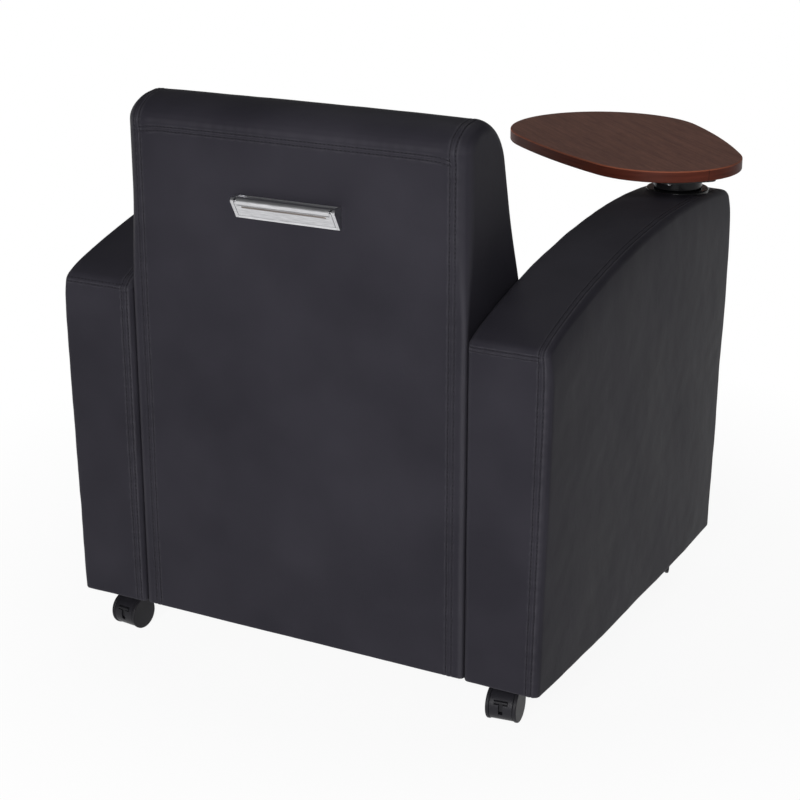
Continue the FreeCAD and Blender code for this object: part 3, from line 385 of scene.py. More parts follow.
def skin_piece(name, points, faces, material):
    # A smooth closed mesh from points and faces, with the points that lie on each other joined.
    mesh = bpy.data.meshes.new(name)
    mesh.from_pydata(points.tolist(), [], faces.tolist())
    work = bmesh.new()
    work.from_mesh(mesh)
    bmesh.ops.remove_doubles(work, verts=work.verts, dist=join_distance)
    bmesh.ops.recalc_face_normals(work, faces=work.faces)
    for face in work.faces:
        face.smooth = True
    work.to_mesh(mesh)
    work.free()
    mesh.materials.append(material)
    piece = bpy.data.objects.new(name, mesh)
    scene.collection.objects.link(piece)
    return piece


def stitch_rows(name, paths):
    # Short raised stitches along paths, each given as its points and the way the vinyl faces there.
    # A station gives a place along the stitch, the share of its thickness there and how far it is lifted.
    ring = np.linspace(0, 2 * math.pi, thread_sides, endpoint=False)
    stations = ((-0.5, 0.25, -0.6), (-0.34, 1.0, 0.35), (0.34, 1.0, 0.35), (0.5, 0.25, -0.6))
    points = []
    faces = []
    start = 0
    for path, facing in paths:
        steps = np.linalg.norm(np.diff(path, axis=0), axis=1)
        run = np.concatenate(([0], np.cumsum(steps)))
        centres = np.arange(stitch_pitch / 2, run[-1], stitch_pitch)
        middle = np.stack([np.interp(centres, run, path[:, k]) for k in range(3)], axis=1)
        before = np.stack([np.interp(centres - tangent_reach, run, path[:, k]) for k in range(3)], axis=1)
        after = np.stack([np.interp(centres + tangent_reach, run, path[:, k]) for k in range(3)], axis=1)
        up = np.stack([np.interp(centres, run, facing[:, k]) for k in range(3)], axis=1)
        along = after - before
        along /= np.linalg.norm(along, axis=1, keepdims=True)
        up -= along * np.sum(up * along, axis=1, keepdims=True)
        up /= np.linalg.norm(up, axis=1, keepdims=True)
        across = np.cross(along, up)
        for share, thickness, lift in stations:
            spine = middle + along * (share * stitch_length) + up * (lift * thread_radius)
            for angle in ring:
                out = up * math.sin(angle) + across * math.cos(angle)
                points.append(spine + out * (thickness * thread_radius))
        index = start + np.arange(len(stations) * thread_sides * len(centres))
        index = index.reshape(len(stations), thread_sides, len(centres))
        beside = np.roll(index, -1, axis=1)
        walls = np.stack([index[:-1], beside[:-1], beside[1:], index[1:]], axis=-1)
        faces.append(walls.reshape(-1, 4))
        # Two four-sided faces close each end of a six-sided stitch.
        for end in (index[0], index[-1]):
            faces.append(end[[0, 1, 2, 3]].T)
            faces.append(end[[0, 3, 4, 5]].T)
        start += index.size
    return skin_piece(name, np.concatenate(points), np.concatenate(faces), thread)


def track_points(x, y, z):
    # Points along a line in a box, from the one coordinate that runs and the two that stay.
    return np.stack(np.broadcast_arrays(x, y, z), axis=1)


def make_arm(name, side, sewn_outside, seam_inset, cross_drop, top_lift, end_droop):
    # side is 1 for the sitter's left arm and -1 for the right. The padding lifts the top by top_lift
    # and the cover draws its two ends down by end_droop.
    low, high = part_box(name + "_cover")
    inner = low.x if side > 0 else high.x
    width = high.x - low.x
    crest = low.z + arm_crest_rise
    run = (high.y - low.y) - arm_crest_setback
    drop = arm_crest_rise - arm_rear_rise
    arc = (run**2 + drop**2) / (2 * drop)
    crest_y = low.y + arm_crest_setback
    box_low = (0.0, low.y, low.z - tuck_share * arm_edge)
    box_high = (width, high.y, crest)
    seam_x = width - seam_inset if sewn_outside else seam_inset
    cross_z = crest - cross_drop
    sewn_side = 1 if sewn_outside else -1

    def surface(points):
        # Points of the plain box moved onto the sewn, padded and arched cover, and the way each one faces.
        flat, facing = round_edges(points, box_low, box_high, arm_edge)
        x, y, z = flat.T
        # wraps, ends, outer, upward and loose are masks from 0 to 1 by the way a point faces.
        wraps = np.clip(1.6 - 2.2 * np.abs(facing[:, 0]), 0, 1)
        ends = np.clip(4 * np.abs(facing[:, 1]) - 2.6, 0, 1)
        height = seam_relief(x - seam_x, row_offset) * wraps
        past = np.clip((seam_x - x) * sewn_side / seam_clearance, 0, 1)
        height += seam_relief(z - cross_z, cross_row_offset) * ends * past
        height += gathers(z - y, x - seam_x, side) * wraps
        height += gathers(x, z - cross_z, side + 1.0) * ends * past
        knot = ((x - seam_x) / arm_knot_reach[0]) ** 2 + ((z - cross_z) / arm_knot_reach[1]) ** 2
        height += arm_knot_height * ends * np.exp(-knot)
        outer = np.clip(2 * facing[:, 0] - 0.6, 0, 1)
        height += arm_side_swell * outer * swell(y, low.y, high.y) * swell(z, low.z - arm_swell_foot, crest)
        height += arm_end_swell * ends * swell(x, 0, width) * swell(z, low.z, crest)
        upward = np.clip(2 * facing[:, 2] - 0.6, 0, 1)
        height += arm_top_swell * upward * swell(x, 0, width, 2)
        loose = np.clip(1.4 * (outer + ends + upward), 0, 1)
        height += arm_wave * loose * ripple(flat, arm_wave_rate, side + 2.0)
        height += arm_fine_wave * loose * ripple(flat, arm_fine_rate, side + 5.0)
        moved = flat + facing * height[:, None]
        x, y, z = moved.T
        share = np.clip((z - low.z) / arm_crest_rise, 0, 1.2)
        top_drop = arc - np.sqrt(arc**2 - (y - crest_y) ** 2)
        z = np.maximum(z - top_drop * share, low.z)
        x = x - arm_foot_draw * (1 - share) * np.clip(x / width, 0, 1)
        roll = np.exp((flat[:, 2] - crest) / arm_top_roll)
        x = x - arm_top_draw * roll * np.clip(x / width, 0, 1) ** arm_roll_power
        to_end = np.minimum(high.y - flat[:, 1], flat[:, 1] - low.y)
        drawn = np.exp(-to_end / arm_end_roll)
        z = z + (top_lift * (1 - drawn) - end_droop * drawn) * share**arm_lift_power
        placed = np.stack([inner + side * x, y, z], axis=1)
        return placed, facing * np.array([side, 1, 1])

    lines = [
        line_places(0.0, width, arm_edge, [seam_x], grid_step),
        line_places(low.y, high.y, arm_edge, [], grid_step),
        line_places(box_low[2], crest, arm_edge, [cross_z], grid_step),
    ]
    points, faces = box_grid(lines)
    cover = skin_piece(name + "_vinyl", surface(points)[0], faces, vinyl)
    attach(cover, "chair")
    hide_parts(name + "_cover", name + "_foam")
    paths = []
    for row in (-1, 1):
        x = seam_x + row * row_offset
        up = np.linspace(low.z + seam_clearance, crest, path_steps)
        over = np.linspace(high.y, low.y, path_steps)
        track = np.concatenate([track_points(x, high.y, up), track_points(x, over, crest),
                                track_points(x, low.y, up[::-1])])
        paths.append(surface(track))
        for end in (low.y, high.y):
            start_x = seam_clearance if sewn_outside else width - seam_clearance
            reach = np.linspace(start_x, seam_x - sewn_side * row_offset, path_steps)
            paths.append(surface(track_points(reach, end, cross_z + row * cross_row_offset)))
    rows = stitch_rows(name + "_stitches", paths)
    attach(rows, "chair")


make_arm("left_arm", 1, False, 0.0115, 0.0040, 0.008, 0.001)
make_arm("right_arm", -1, True, 0.0155, 0.0095, 0.0, 0.006)

# Back
# A padded back with a flat rear, a full round top and a leaning front. Side gussets wrap over its edges
# under double rows of stitches, and a second seam crosses the rear below the rolled top.
back_low, back_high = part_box("back_cover")
back_top_depth = 0.110
back_lean = math.tan(math.radians(14.2))
back_rear_reach = 0.056
back_rear_drop = 0.036
back_front_reach = 0.052
back_front_drop = 0.062
back_side_round = 0.020
back_squeezed_round = 0.006
back_squeeze_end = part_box("right_arm_cover")[0].z + arm_rear_rise
back_seam_inset = 0.022
back_cross_rise = 0.742
back_foot_depth = 0.088
back_front_keep = 0.030
back_rear_keep = 0.045
back_free_start = 0.010
back_free_reach = 0.16
back_dip = 0.006
back_dip_reach = 0.014
back_knot_rise = 0.010
back_knot_height = 0.0016
back_knot_reach = (0.005, 0.012)
back_rear_swell = 0.0016
back_top_swell = 0.0022
back_top_blend = 0.01
back_front_swell = 0.007
back_front_foot = 0.28
back_wave = 0.0009
back_wave_rate = 7.0
back_fine_wave = 0.0003
back_fine_rate = 31.0
back_stitch_rise = 0.13
back_deck_line = 0.0005
back_foot_edge = 0.004
back_round_lines = 12
back_path_steps = 260
seat_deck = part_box("seat_cover")[0].z
back_half = (back_high.x - back_low.x) / 2
back_middle = (back_high.x + back_low.x) / 2
back_rise = back_high.z - back_low.z


def back_section(depth, height):
    # Side view in a plain box, depth from the front face and height from the foot: makes both top corners
    # elliptic and gives the way out of the section and the distance to its edge.
    points = np.stack([depth, height], axis=1)
    gaps = np.stack([depth, back_top_depth - depth, back_rise - height], axis=1)
    ways = np.array([(-1.0, 0.0), (1.0, 0.0), (0.0, 1.0)])
    nearest = np.argmin(gaps, axis=1)
    way = ways[nearest]
    inward = gaps[np.arange(len(gaps)), nearest]
    front_corner = (-1, back_front_reach, back_front_reach, back_front_drop)
    rear_corner = (1, back_top_depth - back_rear_reach, back_rear_reach, back_rear_drop)
    for sign, edge, reach, drop in (front_corner, rear_corner):
        centre = np.array([edge, back_rise - drop])
        size = np.array([reach, drop])
        out = (points - centre) / size
        corner = (out[:, 0] * sign > 0) & (out[:, 1] > 0)
        share = np.max(np.abs(out), axis=1)
        turn = out / np.maximum(np.linalg.norm(out, axis=1, keepdims=True), 1e-9)
        slope = turn / size
        slope /= np.maximum(np.linalg.norm(slope, axis=1, keepdims=True), 1e-9)
        points = np.where(corner[:, None], centre + turn * share[:, None] * size, points)
        way = np.where(corner[:, None], slope, way)
        across = reach * turn[:, 0] ** 2 + drop * turn[:, 1] ** 2
        inward = np.where(corner, (1 - share) * across, inward)
    return points, way, inward


def back_surface(points):
    # Points of the plain box moved onto the rounded, sewn and leaning cover, and the way each one faces.
    x, depth, height = points.T
    section, way, inward = back_section(depth, height)
    side = np.sign(x)
    to_end = back_half - np.abs(x)
    on_end = to_end < 1e-7
    free = np.clip((back_low.z + height - back_squeeze_end + back_free_start) / back_free_reach, 0, 1)
    radius = back_squeezed_round + (back_side_round - back_squeezed_round) * free**2 * (3 - 2 * free)
    bend_side = np.where(to_end < radius, math.pi / 4 * (1 - to_end / radius), 0)
    bend_end = math.pi / 4 * (1 + np.clip(inward / radius, 0, 1))
    bend = np.where(on_end, bend_end, bend_side)
    draw = radius * (1 - np.cos(bend))
    draw = np.where(on_end & (inward > radius), inward, draw)
    draw = np.where(on_end, draw - inward, draw)
    section = section - way * draw[:, None]
    rolled = back_half - radius * (1 - np.sin(bend))
    x = side * np.where(to_end < radius, rolled, np.abs(x))
    facing = np.stack([side * np.sin(bend), way[:, 0] * np.cos(bend), way[:, 1] * np.cos(bend)], axis=1)
    depth, height = section.T
    # wraps, rear and front are masks from 0 to 1 by the way a point faces.
    wraps = np.clip(1.5 - 2.2 * np.abs(facing[:, 0]), 0, 1)
    rear = np.clip(3 * facing[:, 1] - 1.8, 0, 1)
    front = np.clip(-3 * facing[:, 1] - 1.8, 0, 1)
    aside = np.abs(x) - (back_half - back_seam_inset)
    relief = seam_relief(aside, row_offset) * wraps
    between = np.clip(-aside / seam_clearance, 0, 1)
    crossing = height - back_cross_rise + back_dip * np.exp(aside / back_dip_reach)
    relief += seam_relief(crossing, cross_row_offset) * rear * between
    relief += gathers(height - depth, aside, 2.0) * wraps
    relief += gathers(x, crossing, 4.0) * rear * between
    knot_level = (height - back_cross_rise - back_knot_rise) / back_knot_reach[1]
    relief += back_knot_height * rear * np.exp(-((aside / back_knot_reach[0]) ** 2 + knot_level**2))
    relief += back_rear_swell * rear * swell(x, -back_half, back_half) * swell(height, 0, back_cross_rise)
    above = np.clip((height - back_cross_rise) / back_top_blend, 0, 1)
    relief += back_top_swell * above * wraps * swell(x, -back_half, back_half, 6)
    lumbar = swell(x, -back_half, back_half, 3) * swell(height, back_front_foot, back_rise, 3)
    relief += back_front_swell * front * lumbar
    relief += back_wave * wraps * ripple(points, back_wave_rate, 3.0)
    relief += back_fine_wave * wraps * ripple(points, back_fine_rate, 8.0)
    level = back_low.z + height
    full = back_top_depth + (back_high.z - level) * back_lean
    full = np.where(level < seat_deck, back_foot_depth, full)
    grow = (full - back_top_depth) / (back_top_depth - back_front_keep - back_rear_keep)
    y = back_high.y - back_top_depth + depth
    y -= grow * np.clip(back_top_depth - back_rear_keep - depth, 0, None)
    y += grow * np.clip(back_front_keep - depth, 0, None)
    placed = np.stack([back_middle + x, y, level], axis=1) + facing * relief[:, None]
    placed[:, 2] = np.maximum(placed[:, 2], back_low.z)
    return placed, facing


side_seam = back_half - back_seam_inset
round_steps = 1 - np.cos(np.linspace(0, math.pi / 2, back_round_lines))
depth_lines = np.concatenate([
    back_front_reach * round_steps,
    back_top_depth - back_rear_reach * round_steps,
])
depth_lines = np.unique(np.round(np.clip(depth_lines, 0, back_top_depth), 5))
top_lines = np.unique(np.round(np.concatenate([
    line_places(0.0, back_rise, back_foot_edge, [back_cross_rise], grid_step),
    back_rise - back_front_drop * round_steps,
    back_rise - back_rear_drop * round_steps,
    [seat_deck - back_low.z - back_deck_line, seat_deck - back_low.z + back_deck_line],
]), 5))
across_lines = line_places(-back_half, back_half, back_side_round, [-side_seam, side_seam], grid_step)
points, faces = box_grid([across_lines, depth_lines, top_lines])
back_vinyl = skin_piece("back_vinyl", back_surface(points)[0], faces, vinyl)
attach(back_vinyl, "chair")
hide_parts("back_cover", "back_foam")
paths = []
for row in (-1, 1):
    for side in (-1, 1):
        x = side * (side_seam + row * row_offset)
        up = np.linspace(seam_clearance, back_rise, back_path_steps)
        down = np.linspace(back_rise, seat_deck - back_low.z + back_stitch_rise, back_path_steps)
        over = np.linspace(back_top_depth, 0, back_path_steps)
        track = np.concatenate([track_points(x, back_top_depth, up), track_points(x, over, back_rise),
                                track_points(x, 0.0, down)])
        paths.append(back_surface(track))
    reach = np.linspace(-side_seam + row_offset, side_seam - row_offset, back_path_steps)
    dip = back_dip * np.exp((np.abs(reach) - side_seam) / back_dip_reach)
    level = back_cross_rise + row * cross_row_offset - dip
    paths.append(back_surface(track_points(reach, back_top_depth, level)))
back_stitches = stitch_rows("back_stitches", paths)
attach(back_stitches, "chair")

# Seat cushion
# A deep foam cushion in a sewn vinyl case, crowned on top and drawn in between its corners, which sits
# between the arms on the sprung rails. A lapped seam runs around its upper edge, stitched along the front.
seat_low, seat_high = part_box("seat_cover")
seat_edge = 0.020
seat_crown = 0.024
seat_draw = 0.0035
seat_seam_drop = 0.024
seat_gap = 0.0026
seat_tuck = 0.012
seat_wave = 0.0008
seat_wave_rate = 11.0
seat_fine_wave = 0.0004
seat_fine_rate = 37.0
seat_crown_power = 2.6
seat_stitch_inset = 0.006
seat_path_steps = 260
cushion_step = 0.011
seat_half = (seat_high.x - seat_low.x) / 2
seat_middle = (seat_high.x + seat_low.x) / 2
seat_top = seat_high.z
seat_rear_low = back_high.y - back_top_depth - (back_high.z - seat_low.z) * back_lean - seat_gap
seat_box_low = (-seat_half, seat_low.y, seat_low.z - seat_tuck)
seat_box_high = (seat_half, seat_rear_low, seat_top)


def seat_surface(points):
    # Points of the plain box moved onto the crowned cushion, and the way each one faces.
    flat, facing = round_edges(points, seat_box_low, seat_box_high, seat_edge)
    x, y, z = flat.T
    # upward, frontal, sides and walls are masks from 0 to 1 by the way a point faces.
    upward = np.clip(2.2 * facing[:, 2] - 0.5, 0, 1)
    frontal = np.clip(-2.2 * facing[:, 1] - 0.5, 0, 1)
    sides = np.clip(2.2 * np.abs(facing[:, 0]) - 0.5, 0, 1)
    walls = np.clip(1.5 - 2.4 * np.abs(facing[:, 2]), 0, 1)
    relief = seam_relief(z - (seat_top - seat_seam_drop), row_offset) * walls
    relief += seat_wave * (frontal + upward) * ripple(flat, seat_wave_rate, 4.0)
    relief += seat_fine_wave * (frontal + upward) * ripple(flat, seat_fine_rate, 6.0)
    relief -= seat_draw * sides * swell(y, seat_low.y, seat_rear_low, 2)
    relief -= seat_draw * frontal * swell(x, -seat_half, seat_half, 2)
    moved = flat + facing * relief[:, None]
    x, y, z = moved.T
    reach_x = np.clip(np.abs(x) / seat_half, 0, 1)
    middle_y = (seat_low.y + seat_rear_low) / 2
    reach_y = np.clip(np.abs(y - middle_y) / (seat_rear_low - middle_y), 0, 1)
    share = np.clip((z - seat_low.z) / (seat_top - seat_low.z), 0, 1)
    z = z - seat_crown * share * (reach_x**seat_crown_power + reach_y**seat_crown_power) / 2
    z = np.maximum(z, seat_low.z)
    lean = (z - seat_low.z) * back_lean
    y = y + lean * np.clip((y - seat_low.y) / (seat_rear_low - seat_low.y), 0, 1)
    return np.stack([seat_middle + x, y, z], axis=1), facing


lines = [
    line_places(-seat_half, seat_half, seat_edge, [], cushion_step),
    line_places(seat_low.y, seat_rear_low, seat_edge, [], cushion_step),
    line_places(seat_box_low[2], seat_top, seat_edge, [seat_top - seat_seam_drop], cushion_step),
]
points, faces = box_grid(lines)
seat_vinyl = skin_piece("seat_vinyl", seat_surface(points)[0], faces, vinyl)
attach(seat_vinyl, "chair")
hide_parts("seat_cover", "seat_foam")
paths = []
for row in (-1, 1):
    reach = np.linspace(-seat_half + seat_stitch_inset, seat_half - seat_stitch_inset, seat_path_steps)
    level = seat_top - seat_seam_drop + row * row_offset
    paths.append(seat_surface(track_points(reach, seat_low.y, level)))
seat_stitches = stitch_rows("seat_stitches", paths)
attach(seat_stitches, "chair")

# Front panel
# A thin padded panel that closes the front below the cushion: vinyl over foam on the front rail,
# pulled round its edges and stapled behind them.
panel_low, panel_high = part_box("front_panel_cover")
panel_edge = 0.008
panel_swell = 0.004
panel_wave = 0.0007
panel_wave_rate = 10.0
panel_box_low = (panel_low.x, panel_low.y, panel_low.z - tuck_share * panel_edge)


def panel_surface(points):
    # Points of the plain box moved onto the padded panel.
    flat, facing = round_edges(points, panel_box_low, panel_high, panel_edge)
    x = flat[:, 0]
    z = flat[:, 2]
    frontal = np.clip(-2.2 * facing[:, 1] - 0.5, 0, 1)
    relief = panel_swell * frontal * swell(x, panel_low.x, panel_high.x)
    relief *= swell(z, panel_low.z, panel_high.z)
    relief += panel_wave * frontal * ripple(flat, panel_wave_rate, 1.0)
    moved = flat + facing * relief[:, None]
    moved[:, 2] = np.maximum(moved[:, 2], panel_low.z)
    return moved


lines = [
    line_places(panel_low.x, panel_high.x, panel_edge, [], cushion_step),
    line_places(panel_low.y, panel_high.y, panel_edge, [], grid_step),
    line_places(panel_box_low[2], panel_high.z, panel_edge, [], cushion_step),
]
points, faces = box_grid(lines)
panel_vinyl = skin_piece("front_panel_vinyl", panel_surface(points), faces, vinyl)
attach(panel_vinyl, "chair")
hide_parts("front_panel_cover", "front_panel_foam")

# Dust cover
# A black non-woven cloth stapled over the whole underside, drawn tight and a little slack
# between its staples. The castor plates press on it.
dust_low, dust_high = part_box("dust_cover")
dust_cloth, nodes, links, shader = new_material("dust_cloth")
shader.inputs["Roughness"].default_value = 0.95
place = nodes.new("ShaderNodeTexCoord")
fibres = nodes.new("ShaderNodeTexVoronoi")
fibres.inputs["Scale"].default_value = 420.0
tones = two_tones(nodes, links, fibres.outputs["Distance"], (0.006, 0.006, 0.006), (0.022, 0.022, 0.022))
relief = nodes.new("ShaderNodeBump")
relief.inputs["Strength"].default_value = 0.4
relief.inputs["Distance"].default_value = 0.0005
links.new(place.outputs["Object"], fibres.inputs["Vector"])
links.new(tones, shader.inputs["Base Color"])
links.new(fibres.outputs["Distance"], relief.inputs["Height"])
links.new(relief.outputs["Normal"], shader.inputs["Normal"])
columns = 60
rows = 54
dust_slack = 0.0004
dust_wave_rate = 6
dust_seed = 0.4
points = []
for i in range(columns):
    for j in range(rows):
        u = i / (columns - 1)
        v = j / (rows - 1)
        x = dust_low.x + u * (dust_high.x - dust_low.x)
        y = dust_low.y + v * (dust_high.y - dust_low.y)
        free = math.sin(math.pi * u) * math.sin(math.pi * v)
        wave = noise.noise(Vector((dust_wave_rate * x, dust_wave_rate * y, dust_seed)))
        slack = dust_slack * free * wave
        points.append((x, y, (dust_low.z + dust_high.z) / 2 + slack))
index = np.arange(columns * rows).reshape(columns, rows)
faces = np.stack([index[:-1, :-1], index[1:, :-1], index[1:, 1:], index[:-1, 1:]], axis=-1).reshape(-1, 4)
dust_mesh = bpy.data.meshes.new("dust_cover_cloth")
dust_mesh.from_pydata(points, [], faces.tolist())
for face in dust_mesh.polygons:
    face.use_smooth = True
dust_mesh.materials.append(dust_cloth)
dust = bpy.data.objects.new("dust_cover_cloth", dust_mesh)
scene.collection.objects.link(dust)
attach(dust, "chair")
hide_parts("dust_cover")

# Tablet top
# An egg-shaped board faced with dark mahogany laminate, nearly dull, with the figure running along the
# board. It is screwed to the plate of the post.
heading = math.radians(-44.9)
laminate, nodes, links, shader = new_material("mahogany_laminate")
shader.inputs["Specular IOR Level"].default_value = 0.06
place = nodes.new("ShaderNodeTexCoord")
turn = nodes.new("ShaderNodeMapping")
turn.vector_type = "TEXTURE"
turn.inputs["Rotation"].default_value = (0, 0, heading)
turn.inputs["Scale"].default_value = (1.0, 0.055, 1.0)
figure = nodes.new("ShaderNodeTexNoise")
figure.inputs["Scale"].default_value = 9.0
figure.inputs["Detail"].default_value = 6.0
figure.inputs["Roughness"].default_value = 0.62
figure.inputs["Distortion"].default_value = 0.5
pores = nodes.new("ShaderNodeTexNoise")
pores.inputs["Scale"].default_value = 62.0
pores.inputs["Detail"].default_value = 3.0
dark_wood = (0.126, 0.050, 0.035)
pale_wood = (0.238, 0.110, 0.079)
tones = two_tones(nodes, links, figure.outputs["Fac"], dark_wood, pale_wood, 0.30, 0.72)
specks = span(nodes, links, pores.outputs["Fac"], 0.62, 1.0, 0.35, 0.62)
darken = nodes.new("ShaderNodeMix")
darken.data_type = "RGBA"
darken.blend_type = "MULTIPLY"
darken.inputs["Factor"].default_value = 0.7
gloss = span(nodes, links, figure.outputs["Fac"], 0.46, 0.56)
relief = nodes.new("ShaderNodeBump")
relief.inputs["Strength"].default_value = 0.08
relief.inputs["Distance"].default_value = 0.0003
links.new(place.outputs["Object"], turn.inputs["Vector"])
links.new(turn.outputs["Vector"], figure.inputs["Vector"])
links.new(turn.outputs["Vector"], pores.inputs["Vector"])
links.new(tones, darken.inputs["A"])
links.new(specks, darken.inputs["B"])
links.new(darken.outputs["Result"], shader.inputs["Base Color"])
links.new(gloss, shader.inputs["Roughness"])
links.new(pores.outputs["Fac"], relief.inputs["Height"])
links.new(relief.outputs["Normal"], shader.inputs["Normal"])


def dress(names, material):
    # Gives CAD nodes a material in place of the one they came with.
    for name in names:
        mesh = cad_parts[name].data
        mesh.materials.clear()
        mesh.materials.append(material)


dress(["tablet_board"], laminate)

# Tablet edge band
# A plastic strip in a redder mahogany, glued round the board, with a paler line where its corner is
# trimmed and a dark joint where its ends meet.
banding, nodes, links, shader = new_material("mahogany_edge_band")
shader.inputs["Specular IOR Level"].default_value = 0.07
band_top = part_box("tablet_edge_band")[1].z
band_joint = (-0.3867, -0.1068, 0.0)
joint_half = 0.0005
rim_start = 0.0022
rim_full = 0.0012
place = nodes.new("ShaderNodeTexCoord")
turn = nodes.new("ShaderNodeMapping")
turn.vector_type = "TEXTURE"
turn.inputs["Scale"].default_value = (1.0, 1.0, 0.05)
streaks = nodes.new("ShaderNodeTexNoise")
streaks.inputs["Scale"].default_value = 14.0
streaks.inputs["Detail"].default_value = 4.0
dark_band = (0.055, 0.0128, 0.0078)
pale_band = (0.094, 0.0230, 0.0138)
tones = two_tones(nodes, links, streaks.outputs["Fac"], dark_band, pale_band, 0.3, 0.7)
split = nodes.new("ShaderNodeSeparateXYZ")
rim = span(nodes, links, split.outputs["Z"], 0.0, 1.0, band_top - rim_start, band_top - rim_full)
pale = nodes.new("ShaderNodeMix")
pale.data_type = "RGBA"
pale.inputs["B"].default_value = (0.25, 0.078, 0.043, 1)
gloss = span(nodes, links, streaks.outputs["Fac"], 0.44, 0.54)
links.new(place.outputs["Object"], turn.inputs["Vector"])
links.new(turn.outputs["Vector"], streaks.inputs["Vector"])
links.new(place.outputs["Object"], split.inputs[0])
links.new(rim, pale.inputs["Factor"])
links.new(tones, pale.inputs["A"])
flatten = nodes.new("ShaderNodeVectorMath")
flatten.operation = "MULTIPLY"
flatten.inputs[1].default_value = (1, 1, 0)
gap = nodes.new("ShaderNodeVectorMath")
gap.operation = "DISTANCE"
gap.inputs[1].default_value = band_joint
near = nodes.new("ShaderNodeMath")
near.operation = "LESS_THAN"
near.inputs[1].default_value = joint_half
joint = nodes.new("ShaderNodeMix")
joint.data_type = "RGBA"
joint.inputs["B"].default_value = (0.022, 0.007, 0.005, 1)
links.new(place.outputs["Object"], flatten.inputs[0])
links.new(flatten.outputs[0], gap.inputs[0])
links.new(gap.outputs["Value"], near.inputs[0])
links.new(near.outputs[0], joint.inputs["Factor"])
links.new(pale.outputs["Result"], joint.inputs["A"])
links.new(joint.outputs["Result"], shader.inputs["Base Color"])
links.new(gloss, shader.inputs["Roughness"])
dress(["tablet_edge_band"], banding)

# Post of the tablet
# A moulded black hub that turns with the tablet, above a wider flange fixed to the arm. Both are smooth,
# with the fine texture of their mould.
fleck = bpy.data.node_groups.new("moulded_fleck", "ShaderNodeTree")
fleck.interface.new_socket("Scale", in_out="INPUT", socket_type="NodeSocketFloat")
fleck.interface.new_socket("Fleck", in_out="OUTPUT", socket_type="NodeSocketFloat")
fleck.interface.new_socket("Cloud", in_out="OUTPUT", socket_type="NodeSocketFloat")
nodes = fleck.nodes
links = fleck.links
inlet = nodes.new("NodeGroupInput")
outlet = nodes.new("NodeGroupOutput")
place = nodes.new("ShaderNodeTexCoord")
fine = nodes.new("ShaderNodeTexNoise")
fine.inputs["Detail"].default_value = 3.0
broad = nodes.new("ShaderNodeTexNoise")
broad.inputs["Scale"].default_value = 22.0
links.new(place.outputs["Object"], fine.inputs["Vector"])
links.new(place.outputs["Object"], broad.inputs["Vector"])
links.new(inlet.outputs["Scale"], fine.inputs["Scale"])
links.new(fine.outputs["Fac"], outlet.inputs["Fleck"])
links.new(broad.outputs["Fac"], outlet.inputs["Cloud"])


def moulded(name, tone, smooth, rough, fleck_scale, depth):
    # Moulded plastic: two close tones, a range of roughness and a fine texture of its mould.
    tone_share = 0.22
    dark = [(1 - tone_share) * value for value in tone]
    pale = [(1 + tone_share) * value for value in tone]
    made, nodes, links, shader = new_material(name)
    shader.inputs["Specular IOR Level"].default_value = 0.14
    spots = nodes.new("ShaderNodeGroup")
    spots.node_tree = fleck
    spots.inputs["Scale"].default_value = fleck_scale
    tones = two_tones(nodes, links, spots.outputs["Cloud"], dark, pale, 0.35, 0.70)
    gloss = span(nodes, links, spots.outputs["Fleck"], smooth, rough, 0.3, 0.7)
    relief = nodes.new("ShaderNodeBump")
    relief.inputs["Strength"].default_value = 0.15
    relief.inputs["Distance"].default_value = depth
    links.new(tones, shader.inputs["Base Color"])
    links.new(gloss, shader.inputs["Roughness"])
    links.new(spots.outputs["Fleck"], relief.inputs["Height"])
    links.new(relief.outputs["Normal"], shader.inputs["Normal"])
    return made


post_plastic = moulded("post_plastic", (0.0055, 0.0055, 0.006), 0.16, 0.26, 500.0, 0.0002)
dress(["tablet_hub", "pivot_flange"], post_plastic)

# Castors
# Twin nylon wheels on a steel axle under a moulded hood, with a T-shaped brake lever let into its
# trailing face. The hoods are smoother, the wheels a little duller.
corners = ["rear_right", "rear_left", "front_right", "front_left"]
hood_plastic = moulded("hood_plastic", (0.0135, 0.0130, 0.0160), 0.32, 0.44, 900.0, 0.0003)
wheel_nylon = moulded("wheel_nylon", (0.0130, 0.0125, 0.0150), 0.40, 0.54, 700.0, 0.0004)
lever_plastic = moulded("lever_plastic", (0.0100, 0.0097, 0.0115), 0.34, 0.46, 900.0, 0.0003)
dress([corner + "_caster_hood" for corner in corners], hood_plastic)
dress([corner + "_caster_left_wheel" for corner in corners], wheel_nylon)
dress([corner + "_caster_right_wheel" for corner in corners], wheel_nylon)
dress([corner + "_caster_brake" for corner in corners], lever_plastic)

# Pull handle
# A bright plated casting: a shallow tray with two wedge cheeks, screwed through the rear of the back, and a
# hinged grip on a pin between the cheeks, stiffened by a pressed bead along its face. The bead's darker,
# browner tint is painted shade, standing for the shadow line beneath it.
drawn_grain = bpy.data.node_groups.new("drawn_grain", "ShaderNodeTree")
drawn_grain.interface.new_socket("Stretch", in_out="INPUT", socket_type="NodeSocketVector")
drawn_grain.interface.new_socket("Scale", in_out="INPUT", socket_type="NodeSocketFloat")
drawn_grain.interface.new_socket("Detail", in_out="INPUT", socket_type="NodeSocketFloat")
drawn_grain.interface.new_socket("Lines", in_out="OUTPUT", socket_type="NodeSocketFloat")
nodes = drawn_grain.nodes
links = drawn_grain.links
inlet = nodes.new("NodeGroupInput")
outlet = nodes.new("NodeGroupOutput")
place = nodes.new("ShaderNodeTexCoord")
stretch = nodes.new("ShaderNodeMapping")
lines = nodes.new("ShaderNodeTexNoise")
links.new(place.outputs["Object"], stretch.inputs["Vector"])
links.new(inlet.outputs["Stretch"], stretch.inputs["Scale"])
links.new(stretch.outputs["Vector"], lines.inputs["Vector"])
links.new(inlet.outputs["Scale"], lines.inputs["Scale"])
links.new(inlet.outputs["Detail"], lines.inputs["Detail"])
